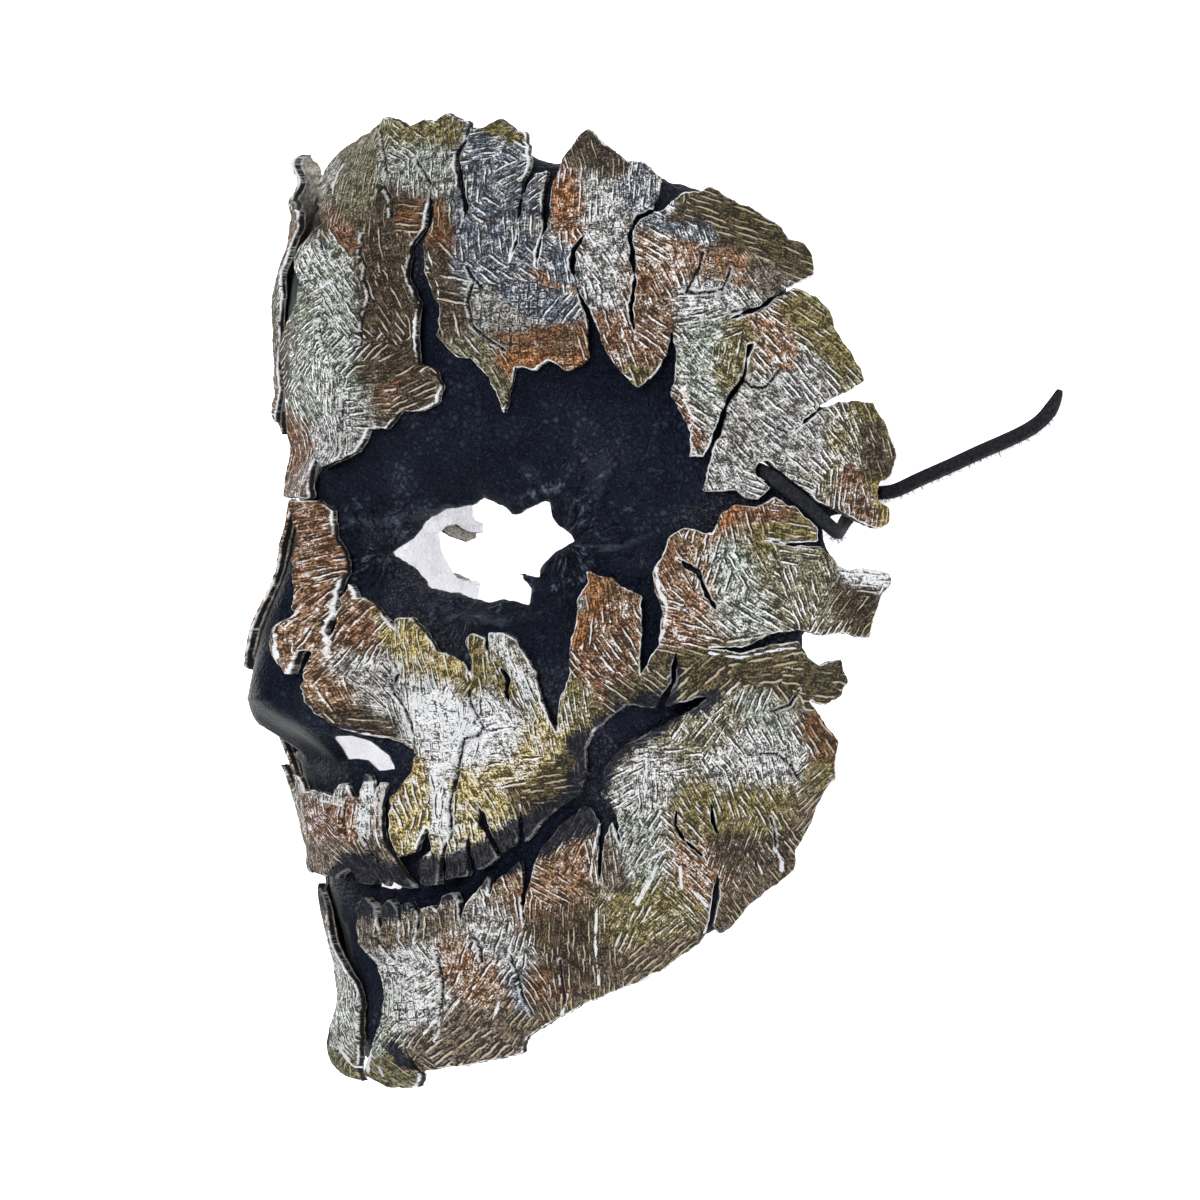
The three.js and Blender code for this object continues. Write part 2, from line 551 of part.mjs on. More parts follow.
function lace() {
  const route = new THREE.CatmullRomCurve3([
    ...LACE_ON_FACE.map((place) => laidPlace(onFace(place, sheetLift), LACE_DEPTH)),
    ...LACE_IN_RIM.map((place) => new THREE.Vector3(...place)),
    ...LACE_ON_FLOOR.map((place) => onFloor(place, LACE_HEIGHT)),
  ]);
  const section = Array.from({ length: LACE_SIDES }, (_, k) => {
    const angle = (2 * Math.PI * (k + 0.5)) / LACE_SIDES;
    return new THREE.Vector2((LACE_WIDTH / 2) * Math.cos(angle), (LACE_THICKNESS / 2) * Math.sin(angle));
  });
  const straight = { depth: 1, steps: LACE_STEPS, bevelEnabled: false };
  const geometry = new THREE.ExtrudeGeometry(new THREE.Shape(section), straight);
  const position = geometry.getAttribute("position");
  for (let v = 0; v < position.count; v++) {
    const share = THREE.MathUtils.clamp(position.getZ(v), 0, 1);
    const along = route.getTangentAt(share);
    const wide = new THREE.Vector3(0, -1, 0).addScaledVector(along, along.y).normalize();
    const thick = along.clone().cross(wide);
    const p = route.getPointAt(share)
      .addScaledVector(wide, position.getX(v))
      .addScaledVector(thick, position.getY(v));
    position.setXYZ(v, p.x, p.y, p.z);
  }
  return geometry;
}

const hole = roundHole(onFace(LACE_HOLE, sheetLift), LACE_HOLE_RADIUS);
const foreheadCracks = FOREHEAD_CRACKS.map((line) => onSheet(crackOutline(line)));
const cheekCracks = CHEEK_CRACKS.map((line) => onSheet(crackOutline(line)));
const forehead = onSheet(FOREHEAD_EDGE);
const cheek = onSheet(CHEEK_EDGE);
const lip = onSheet(LIP_EDGE);
const groove = onSheet(crackOutline(LACE_GROOVE));

const leather = (color, roughness, metalness) => new THREE.MeshStandardMaterial({ color, roughness, metalness });
const black = leather(0x17181c, 0.55, 0);
const pewter = leather(0x8a857a, 0.45, 0.5);
const rust = leather(0x7a4a2c, 0.5, 0.35);
const bronze = leather(0x857650, 0.45, 0.45);

const mask = new THREE.Group();
function add(name, geometry, material) {
  const mesh = new THREE.Mesh(geometry, material);
  mesh.name = name;
  mask.add(mesh);
}
add("under_mask", underMask(), black);
const farForehead = farSide(forehead).filter(([degrees]) => degrees < FAR_FOREHEAD_END);
add("forehead_sheet_left", outerSheet([...forehead, ...FOREHEAD_SEAM], [...foreheadCracks, hole, groove]), pewter);
const farForeheadOutline = [...farForehead, ...FAR_FOREHEAD_SEAM];
add("forehead_sheet_right", outerSheet(farForeheadOutline, [farSide(hole)], FAR_BROW_CURLS), pewter);
const nearMouth = onSheet(MOUTH_EDGE);
const cheekOutline = [...cheek, ...onSheet(CHIN_EDGE), ...nearMouth, ...onSheet(NOSE_EDGE), ...BRIDGE_SEAM];
add("cheek_sheet_left", outerSheet(cheekOutline, [...cheekCracks, groove]), bronze);
const farCheek = [...farSide(nearMouth), ...FAR_CHIN_EDGE, ...farSide(cheek), ...FAR_NOSE_EDGE];
add("cheek_sheet_right", outerSheet(farCheek, [], FAR_CHIN_CURLS), bronze);
add("lip_sheet", outerSheet([...lip, ...farSide(lip)], []), rust);
add("lace_left", lace(), black);
export default mask;
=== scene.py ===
"""A leather face mask, lying on its back rim with the nose up.

A black moulded under-mask carries torn, tooled outer sheets, painted and rubbed like old metal,
and one flat leather lace hangs out at the temple. Lengths of the leather are in millimetres until
a mesh is made; Blender's own lengths are in metres.
"""

import math

import bpy
import numpy as np
from mathutils import Matrix, Vector


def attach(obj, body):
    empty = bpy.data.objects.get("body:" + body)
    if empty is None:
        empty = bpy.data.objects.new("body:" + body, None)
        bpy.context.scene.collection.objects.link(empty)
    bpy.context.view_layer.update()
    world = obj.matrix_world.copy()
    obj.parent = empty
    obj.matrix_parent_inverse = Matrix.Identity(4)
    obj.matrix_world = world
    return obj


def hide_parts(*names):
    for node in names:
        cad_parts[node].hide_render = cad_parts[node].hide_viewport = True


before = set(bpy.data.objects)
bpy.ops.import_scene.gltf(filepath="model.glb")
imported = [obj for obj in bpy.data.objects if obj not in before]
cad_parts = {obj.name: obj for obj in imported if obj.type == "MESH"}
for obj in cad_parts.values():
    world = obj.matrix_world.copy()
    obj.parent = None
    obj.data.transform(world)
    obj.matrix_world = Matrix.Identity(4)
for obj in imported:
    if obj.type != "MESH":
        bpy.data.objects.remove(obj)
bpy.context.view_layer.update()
scene = bpy.context.scene

# The under-mask: one piece of vegetable-tanned leather, soaked, moulded over a face form until
# brow, eye hollow, nose and chin stand out, dyed black and burnished. It ends a little inside
# the torn sheets, and its eyes, nostrils and mouth are torn openings.
MM = 0.001
# Flat leather: millimetres to a degree round the face, and millimetres across its map.
REFERENCE_RADIUS = 92
ARC = math.radians(REFERENCE_RADIUS)
FLAT_MAP = 100
UNDER_THICKNESS = 2.6
UNDER_SPACING = 1.1
UNDER_EDGE_ROLL = 1.6
REST_TILT = math.radians(6)
FACE_PLACE = np.array([-0.1, 8.75, -5.2])

# Rows of height and size, from chin to forehead: how far the middle line stands out from the
# upright axis, half the width of the face, and the part of the first that is a narrow keel.
FRONT_PROFILE = [
    (-124, 80), (-116, 85), (-108, 88), (-94, 89.5), (-84, 92), (-74, 94), (-66, 95),
    (-58, 97), (-44, 101.5), (-25, 104), (0, 105), (15, 106), (25, 106), (36, 101.5),
    (49, 103), (60, 105), (72, 105.5), (84, 103), (98, 96.5), (108, 90), (120, 81),
]
HALF_WIDTHS = [
    (-124, 34), (-110, 46), (-93, 56), (-81, 63), (-63, 72), (-39, 81), (-24, 86),
    (0, 90.5), (20, 92), (52, 91.5), (75, 89), (92, 84), (105, 77), (120, 66),
]
KEEL_HEIGHTS = [(-124, 9), (-70, 8), (-20, 4), (40, 6), (120, 6)]
KEEL_DEGREES = 20
NOSE_TOP, NOSE_WIDENS, NOSE_TIP, NOSE_ROOT = 34, 26, -24, -40
NOSE_HEIGHT, RIDGE_WIDTH, TIP_WIDTH, TIP_ROUNDING = 17, 6.5, 15, 2
# Hollows and swellings: across, up, reach across, reach up, height. They fade out round the sides.
NOSE_WING = (13, -30, 7, 8, 6)
FORMS_WHOLE, FORMS_GONE = 70, 95
FORMS = [
    (36, 40, 22, 11, 3.5), (36, 12, 22, 17, -13), (62, -18, 24, 17, 5), (48, -50, 20, 18, -5),
    (0, -62, 30, 16, 3), (0, -102, 20, 12, 3),
]


def smooth_step(low, high, value):
    t = np.clip((value - low) / (high - low), 0, 1)
    return t * t * (3 - 2 * t)


def size_at(rows, place):
    """A smooth curve through rows of (place, size)."""
    x, size = np.array(rows, float).T
    slope = np.empty_like(size)
    slope[1:-1] = (size[2:] - size[:-2]) / (x[2:] - x[:-2])
    slope[0] = (size[1] - size[0]) / (x[1] - x[0])
    slope[-1] = (size[-1] - size[-2]) / (x[-1] - x[-2])
    i = np.clip(np.searchsorted(x, place) - 1, 0, len(x) - 2)
    span = x[i + 1] - x[i]
    t = np.clip((place - x[i]) / span, -0.5, 1.5)
    return ((2 * t**3 - 3 * t**2 + 1) * size[i] + (t**3 - 2 * t**2 + t) * span * slope[i]
            + (3 * t**2 - 2 * t**3) * size[i + 1] + (t**3 - t**2) * span * slope[i + 1])


def swell(form, x, y):
    across, up, wide, tall, height = form
    return height * np.exp(-(((x - across) / wide) ** 2) - ((y - up) / tall) ** 2)


def radius_at(degrees, y):
    """Distance of the under-mask's outer face from the upright axis, at an angle from the nose."""
    phi = np.radians(degrees)
    keel = size_at(KEEL_HEIGHTS, y)
    front = size_at(FRONT_PROFILE, y) - keel
    half = size_at(HALF_WIDTHS, y)
    r = 1 / np.hypot(np.sin(phi) / half, np.cos(phi) / front)
    r = r + keel * np.exp(-((degrees / KEEL_DEGREES) ** 2))
    x = np.abs(r * np.sin(phi))
    rise = np.where(y > NOSE_TIP, smooth_step(NOSE_TOP, NOSE_TIP, y),
                    smooth_step(NOSE_ROOT, NOSE_TIP + TIP_ROUNDING, y))
    width = RIDGE_WIDTH + (TIP_WIDTH - RIDGE_WIDTH) * smooth_step(NOSE_WIDENS, NOSE_TIP, y)
    r = r + NOSE_HEIGHT * rise * np.exp(-((x / width) ** 2)) + swell(NOSE_WING, x, y)
    facing = smooth_step(FORMS_GONE, FORMS_WHOLE, np.abs(degrees))
    return r + facing * sum(swell(form, x, y) for form in FORMS)


def face_point(degrees, y):
    r = radius_at(degrees, y)
    phi = np.radians(degrees)
    return np.stack([r * np.sin(phi), y, r * np.cos(phi)], -1)


def laid_down(points):
    """Tips upright places of the face back onto its rim, in the frame of the finished part."""
    c, s = math.cos(REST_TILT), math.sin(REST_TILT)
    x, y, z = points[..., 0], points[..., 1], points[..., 2]
    return np.stack([x, y * c - z * s, y * s + z * c], -1) + FACE_PLACE


# The slope of the face is measured over this step, and stretches a depth by this much at most.
SLOPE_STEP = 0.6
STEEPEST = 1.9


def laid(s, t, depth):
    """Where a point of the flat leather lies, at a depth out from the under-mask's face."""
    degrees = s / ARC
    across = face_point(degrees + SLOPE_STEP, t) - face_point(degrees - SLOPE_STEP, t)
    up = face_point(degrees, t + SLOPE_STEP) - face_point(degrees, t - SLOPE_STEP)
    normal = np.cross(across, up)
    normal /= np.linalg.norm(normal, axis=-1, keepdims=True)
    phi = np.radians(degrees)
    out = np.stack([np.sin(phi), np.zeros_like(phi), np.cos(phi)], -1)
    stretch = np.minimum(1 / np.abs((normal * out).sum(-1)), STEEPEST)
    return laid_down(face_point(degrees, t) + out * (stretch * depth)[..., None])


# The side drawing: a picture plane square to a line of sight from the wearer's left front, with
# places counted right and down from its top left corner.
SIGHT_DEGREES = 57
SIGHT_DISTANCE = 850
SIGHT_CENTRE = np.array([34.5, 0, 45])
DRAWING_SCALE = 0.2423
DRAWING_MIDDLE = 600
SEARCH_REACH, SEARCH_STEP, SEARCH_HALVINGS = 130, 2.0, 20
sight = np.array([math.sin(math.radians(SIGHT_DEGREES)), 0, math.cos(math.radians(SIGHT_DEGREES))])
rightward = np.array([sight[2], 0, -sight[0]])
eye_point = SIGHT_CENTRE + SIGHT_DISTANCE * sight


def line_of_sight(places):
    """Directions from the eye through places of the side drawing."""
    offset = (np.asarray(places, float)[:, :2] - DRAWING_MIDDLE) * DRAWING_SCALE
    rays = -SIGHT_DISTANCE * sight + offset[:, :1] * rightward
    rays[:, 1] -= offset[:, 1]
    return rays / np.linalg.norm(rays, axis=1, keepdims=True)


def on_face(places, lift):
    """[degrees, height] where the line of sight through each place meets the lifted face."""
    rays = line_of_sight(places)

    def outside(distance):
        p = eye_point + rays * distance[:, None]
        degrees = np.degrees(np.arctan2(p[:, 0], p[:, 2]))
        return np.hypot(p[:, 0], p[:, 2]) - radius_at(degrees, p[:, 1]) - lift

    steps = np.arange(SIGHT_DISTANCE - SEARCH_REACH, SIGHT_DISTANCE + SEARCH_REACH, SEARCH_STEP)
    gaps = np.stack([outside(np.full(len(rays), step)) for step in steps])
    met = (gaps < 0).any(0)
    first = np.where(met, (gaps < 0).argmax(0), gaps.argmin(0))
    high = steps[first]
    low = np.where(met, high - SEARCH_STEP, high)
    for _ in range(SEARCH_HALVINGS):
        middle = (low + high) / 2
        deep = outside(middle) < 0
        high = np.where(deep & met, middle, high)
        low = np.where(~deep & met, middle, low)
    p = eye_point + rays * high[:, None]
    return np.stack([np.degrees(np.arctan2(p[:, 0], p[:, 2])), p[:, 1]], -1)


OUT_OF_TRUE = 1.2


def far_side(outline):
    """The wearer's right side mirrors the left, a little out of true, as handwork is."""
    degrees, y = np.asarray(outline, float).T
    turned = -degrees - OUT_OF_TRUE * np.cos(np.radians(degrees)) * np.sin(y / 13 + 1)
    return np.stack([turned, y + OUT_OF_TRUE * np.sin(degrees / 9)], -1)[::-1]


def flat(outline):
    """Millimetres of flat leather, from degrees and height."""
    return np.asarray(outline, float) * (ARC, 1)


def tear_distance(s, t, outline):
    """Distance to a flat outline, less than nothing inside it."""
    nearest = np.full(s.shape, 1e9)
    inside = np.zeros(s.shape, bool)
    for (x0, y0), (x1, y1) in zip(outline, np.roll(outline, -1, axis=0)):
        dx, dy = x1 - x0, y1 - y0
        share = np.clip(((s - x0) * dx + (t - y0) * dy) / (dx * dx + dy * dy + 1e-12), 0, 1)
        nearest = np.minimum(nearest, (s - x0 - share * dx) ** 2 + (t - y0 - share * dy) ** 2)
        if y0 != y1:
            inside ^= ((y0 > t) != (y1 > t)) & (s < x0 + dx * (t - y0) / dy)
    return np.sqrt(nearest) * np.where(inside, -1, 1)


LATTICE = 128


def ripple(s, t, size, seed):
    """Smooth random unevenness between -1 and 1, with lumps of about the given size."""
    lattice = np.random.RandomState(seed).uniform(-1, 1, (LATTICE, LATTICE))
    u, v = s / size + 50.3 + seed, t / size + 47.7
    i, j = np.floor(u).astype(int), np.floor(v).astype(int)
    a, b = u - i, v - j
    a, b = a * a * (3 - 2 * a), b * b * (3 - 2 * b)
    pick = lambda m, n: lattice[(i + m) % LATTICE, (j + n) % LATTICE]
    return ((pick(0, 0) * (1 - a) + pick(1, 0) * a) * (1 - b)
            + (pick(0, 1) * (1 - a) + pick(1, 1) * a) * b)


class Cut:
    """Flat leather cut where a field passes zero: its corners, faces, rim and edge distance."""

    def __init__(self, field, low, high, spacing):
        s, t = np.meshgrid(*(np.arange(*reach, spacing) for reach in zip(low, high)))
        s[1::2] += spacing / 2
        corner = np.arange(s.size).reshape(s.shape)
        s, t = s.ravel(), t.ravel()
        f = field(s, t)
        faces = []
        for k, (near_row, far_row) in enumerate(zip(corner[:-1], corner[1:])):
            a, b, c, d = near_row[:-1], near_row[1:], far_row[1:], far_row[:-1]
            if k % 2 == 0:
                faces += [np.stack([a, b, d], -1), np.stack([b, c, d], -1)]
            else:
                faces += [np.stack([a, b, c], -1), np.stack([a, c, d], -1)]
        faces = np.concatenate(faces)
        # Triangles that cross the line are turned so that their lone corner comes first.
        inside = f[faces] < 0
        count = inside.sum(1)
        total = len(s)
        made = [faces[count == 3]]
        edges = []
        for wanted, flag in ((1, True), (2, False)):
            part = faces[count == wanted]
            lone = (inside[count == wanted] == flag).argmax(1)
            part = part[np.arange(len(part))[:, None], (lone[:, None] + np.arange(3)) % 3]
            edges.append(part)
        # Each crossed side gets one new corner, where the field is zero.
        pairs = np.concatenate([np.sort(np.concatenate([p[:, [0, 1]], p[:, [0, 2]]]), axis=1)
                                for p in edges])
        keys, back = np.unique(pairs[:, 0] * total + pairs[:, 1], return_inverse=True)
        i, j = keys // total, keys % total
        share = f[i] / (f[i] - f[j])
        n1, n2 = len(edges[0]), len(edges[1])
        first1, second1 = back[:n1] + total, back[n1:2 * n1] + total
        first2, second2 = back[2 * n1:2 * n1 + n2] + total, back[2 * n1 + n2:] + total
        made.append(np.stack([edges[0][:, 0], first1, second1], -1))
        made.append(np.stack([first2, edges[1][:, 1], edges[1][:, 2]], -1))
        made.append(np.stack([first2, edges[1][:, 2], second2], -1))
        faces = np.concatenate(made)
        s = np.concatenate([s, s[i] + share * (s[j] - s[i])])
        t = np.concatenate([t, t[i] + share * (t[j] - t[i])])
        f = np.concatenate([f, np.zeros(len(keys))])
        # Corners that no triangle uses are dropped. The rim is the sides with a triangle on one
        # side only.
        used, faces = np.unique(faces, return_inverse=True)
        self.faces = faces.reshape(-1, 3)
        self.s, self.t = s[used], t[used]
        self.edge = -f[used]
        ways = np.concatenate([self.faces[:, [0, 1]], self.faces[:, [1, 2]], self.faces[:, [2, 0]]])
        size = len(used)
        forth = ways[:, 0] * size + ways[:, 1]
        self.rim = ways[~np.isin(forth, ways[:, 1] * size + ways[:, 0])]


WALL_ROUGHNESS, WALL_BULGE, WALL_GRAIN = 0.22, 0.12, 0.8


def leather_mesh(name, cut, inner, outer, wall_rows, floor, extra):
    """A closed piece of leather from a cut: its two faces, and a torn wall between them."""
    size = len(cut.s)
    rim_points, rim_faces = np.unique(cut.rim, return_inverse=True)
    rim_faces = rim_faces.reshape(-1, 2)
    s, t, depth, wall = [cut.s, cut.s], [cut.t, cut.t], [outer, inner], [np.zeros(size)] * 2
    ring = [rim_points]
    for k in range(1, wall_rows):
        share = k / wall_rows
        ring.append(2 * size + (k - 1) * len(rim_points) + np.arange(len(rim_points)))
        rs, rt = cut.s[rim_points], cut.t[rim_points]
        shift = WALL_ROUGHNESS * ripple(rs + 40 * k, rt, WALL_GRAIN, 5 + k)
        s.append(rs + (shift + WALL_BULGE * math.sin(math.pi * share)))
        t.append(rt + WALL_ROUGHNESS * ripple(rs, rt + 40 * k, WALL_GRAIN, 15 + k))
        depth.append(outer[rim_points] * (1 - share) + inner[rim_points] * share)
        wall.append(np.ones(len(rim_points)))
    ring.append(rim_points + size)
    faces = [cut.faces, cut.faces[:, ::-1] + size]
    for upper, lower in zip(ring[:-1], ring[1:]):
        i, j = rim_faces[:, 0], rim_faces[:, 1]
        faces += [np.stack([upper[j], upper[i], lower[i]], -1),
                  np.stack([upper[j], lower[i], lower[j]], -1)]
    s, t, depth = np.concatenate(s), np.concatenate(t), np.concatenate(depth)
    points = laid(s, t, depth)
    points[:, 2] = np.maximum(points[:, 2], floor)
    faces = np.concatenate(faces)
    mesh = bpy.data.meshes.new(name)
    mesh.vertices.add(len(points))
    mesh.vertices.foreach_set("co", (points * MM).ravel())
    mesh.loops.add(faces.size)
    mesh.loops.foreach_set("vertex_index", faces.ravel().astype(np.int32))
    mesh.polygons.add(len(faces))
    mesh.polygons.foreach_set("loop_start", np.arange(0, faces.size, 3, dtype=np.int32))
    mesh.update(calc_edges=True)
    mesh.polygons.foreach_set("use_smooth", np.ones(len(faces), bool))
    uv = mesh.uv_layers.new(name="leather")
    uv.data.foreach_set("uv", np.stack([s, t], -1)[faces.ravel()].ravel() / FLAT_MAP)
    rest = len(points) - 2 * size
    values = {"back": np.concatenate([np.zeros(size), np.ones(size), np.zeros(rest)]),
              "wall": np.concatenate(wall),
              "edge": np.concatenate([cut.edge, cut.edge, np.zeros(rest)])}
    for key, value in extra.items():
        values[key] = np.concatenate([value, value] + [value[rim_points]] * (wall_rows - 1))
    for key, value in values.items():
        kind, item = ("FLOAT", "value") if value.ndim == 1 else ("FLOAT_COLOR", "color")
        layer = mesh.attributes.new(key, kind, "POINT")
        layer.data.foreach_set(item, value.astype(np.float32).ravel())
    piece = bpy.data.objects.new(name, mesh)
    scene.collection.objects.link(piece)
    return piece


# The torn edge and the openings, as they lie in the side drawing.
UNDER_EDGE = [
    (384, 136), (430, 131), (476, 136), (503, 134), (531, 157), (548, 163), (562, 162),
    (590, 148), (620, 166), (650, 172), (668, 181), (697, 188), (728, 202), (758, 219), (778, 232),
    (800, 252), (804, 268), (786, 290), (806, 300), (824, 318), (832, 340), (850, 372), (852, 380),
    (838, 390), (818, 406), (840, 407), (866, 410), (880, 440), (889, 462), (885, 476), (872, 481),
    (869, 492), (872, 505), (886, 509), (884, 518), (866, 520), (848, 512), (834, 516), (824, 526),
    (825, 540), (828, 548), (845, 576), (876, 578), (870, 592), (864, 616), (862, 632), (845, 628),
    (815, 628), (804, 632), (804, 650), (818, 669), (836, 668), (842, 682), (834, 693), (815, 697),
    (806, 706), (826, 742), (824, 764), (830, 778), (818, 792), (807, 820), (787, 848), (786, 868),
    (757, 896), (716, 929), (672, 957), (640, 976), (597, 992), (557, 1011), (518, 1034),
    (516, 1047), (482, 1056), (424, 1064), (392, 1076),
]
EYE_HOLE = [
    (381, 554), (408, 536), (418, 521), (438, 509), (469, 504), (478, 496), (502, 506), (511, 515),
    (546, 500), (554, 522), (575, 540), (549, 556), (539, 569), (538, 578), (516, 572), (528, 588),
    (527, 605), (501, 599), (485, 603), (450, 593), (424, 589), (407, 568),
]
NOSTRIL = [
    (322, 737), (345, 737), (365, 741), (383, 754), (393, 770), (371, 772), (360, 760), (338, 759),
]
MOUTH_GAP = [(371, 886), (376, 879), (392, 878), (400, 885), (396, 889), (380, 889)]
LACE_HOLE = [(766, 471)]
LACE_HOLE_RADIUS = 2.3
LACE_HOLE_SIDES = 24
# The outer faces of the sheets lie about this far out from the under-mask.
SHEET_LIFT = 3


def round_hole(centre):
    angle = np.linspace(0, 2 * math.pi, LACE_HOLE_SIDES, endpoint=False)
    ring = LACE_HOLE_RADIUS * np.stack([np.cos(angle) / ARC, np.sin(angle)], -1)
    return centre + ring


lace_hole = round_hole(on_face(LACE_HOLE, SHEET_LIFT)[0])
under_left = on_face(UNDER_EDGE, 0)
under_outline = flat(np.concatenate([under_left, far_side(under_left)]))
under_openings = [on_face(EYE_HOLE, 0), on_face(NOSTRIL, 0), on_face(MOUTH_GAP, 0), lace_hole]
under_openings += [far_side(opening) for opening in under_openings]


def under_field(s, t):
    rough = 0.25 * ripple(s, t, 2.2, 1) + 0.12 * ripple(s, t, 0.9, 2)
    f = tear_distance(s, t, under_outline)
    for opening in under_openings:
        f = np.maximum(f, -tear_distance(s, t, flat(opening)))
    return f + rough


# Folds that the leather took over the form: reach, height and middle line in the side drawing.
FOLDS = [
    (7, -0.9, [(335, 506), (370, 511), (397, 508), (422, 502), (450, 497), (474, 494)]),
    (6, 0.7, [(345, 516), (375, 521), (400, 519), (424, 511), (450, 505)]),
    (6, -0.8, [(425, 598), (460, 606), (500, 611), (534, 612)]),
    (6, 0.6, [(432, 608), (465, 616), (500, 620)]),
    (4, -0.6, [(345, 530), (349, 560), (362, 590)]),
    (4, -0.6, [(356, 540), (362, 566), (380, 590)]),
    (5, -0.5, [(470, 440), (520, 452), (570, 450), (620, 436)]),
    (4, -0.6, [(545, 620), (552, 660), (556, 700)]),
    (4, -0.5, [(528, 625), (534, 655), (537, 680)]),
]
# Creases spread from the corners of the eye: middle, reach, height and how many in a half turn.
EYE_CORNERS = [((566, 542), 85, 0.75, 26), ((384, 553), 62, 0.6, 18), ((470, 612), 60, 0.5, 16)]


def line_distance(places, line):
    """Distance of drawn or flat places from a line of points, or from a single one."""
    line = np.asarray(line, float)
    line = np.concatenate([line, line]) if len(line) == 1 else line
    nearest = np.full(len(places), 1e9)
    for a, b in zip(line[:-1], line[1:]):
        along = b - a
        share = np.clip((places - a) @ along / (along @ along + 1e-9), 0, 1)
        nearest = np.minimum(nearest, ((places - a - share[:, None] * along) ** 2).sum(1))
    return np.sqrt(nearest)


def in_drawing(degrees, y):
    """Where places of the face show in the side drawing."""
    from_eye = face_point(degrees, y) - eye_point
    size = SIGHT_DISTANCE / -(from_eye @ sight) / DRAWING_SCALE
    return DRAWING_MIDDLE + np.stack([from_eye @ rightward, -from_eye[:, 1]], -1) * size[:, None]


under = Cut(under_field, (-148, -126), (148, 116), UNDER_SPACING)
drawn = in_drawing(np.abs(under.s / ARC), under.t)
roll = np.clip(1 - under.edge / UNDER_EDGE_ROLL, 0, 1)
under_outer = (0.3 * ripple(under.s, under.t, 7, 3) + 0.16 * ripple(under.s, under.t, 2.8, 4)
               - 0.2 - 0.9 * roll**2)
folds = np.zeros(len(under.s))
for reach, height, line in FOLDS:
    folds += height * np.exp(-((line_distance(drawn, line) / reach) ** 2))
for corner, reach, height, count in EYE_CORNERS:
    away = drawn - corner
    far = np.hypot(away[:, 0], away[:, 1])
    turn = np.arctan2(away[:, 1], away[:, 0]) + far * 0.004
    fade = smooth_step(0, 18, far) * np.exp(-((far / reach) ** 2))
    folds += height * fade * ripple(turn * count / math.pi, far / reach, 0.8, 61)
under_outer += folds
under_inner = under_outer * 0.3 - UNDER_THICKNESS + 0.6 * roll**2
under_mask = leather_mesh("under_mask_leather", under, under_inner, under_outer, wall_rows=3,
                          floor=0, extra={"fold": folds})
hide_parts("under_mask")
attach(under_mask, "root")


class Shade:
    """A socket of a material that adds, takes away, multiplies and divides as a number does."""

    def __init__(self, paint, socket):
        self.paint, self.socket = paint, socket

    def _maths(self, operation, a, b=0.0):
        return self.paint.node("ShaderNodeMath", {"operation": operation}, [a, b])

    def __add__(self, other):
        return self._maths("ADD", self, other)

    def __radd__(self, other):
        return self._maths("ADD", other, self)

    def __sub__(self, other):
        return self._maths("SUBTRACT", self, other)

    def __rsub__(self, other):
        return self._maths("SUBTRACT", other, self)

    def __mul__(self, other):
        return self._maths("MULTIPLY", self, other)

    def __rmul__(self, other):
        return self._maths("MULTIPLY", other, self)

    def __truediv__(self, other):
        return self._maths("DIVIDE", self, other)

    def __rtruediv__(self, other):
        return self._maths("DIVIDE", other, self)

    def __pow__(self, other):
        return self._maths("POWER", self, other)

    def larger(self, other):
        return self._maths("MAXIMUM", self, other)

    def floor(self):
        return self._maths("FLOOR", self)

    def beyond_floor(self):
        return self._maths("FRACT", self)

    def size(self):
        return self._maths("ABSOLUTE", self)

    def step(self, low, high):
        """0 below low, 1 above high, and smooth between them."""
        return self.paint.node("ShaderNodeMapRange", {"interpolation_type": "SMOOTHSTEP"},
                               {"Value": self, "From Min": low, "From Max": high})


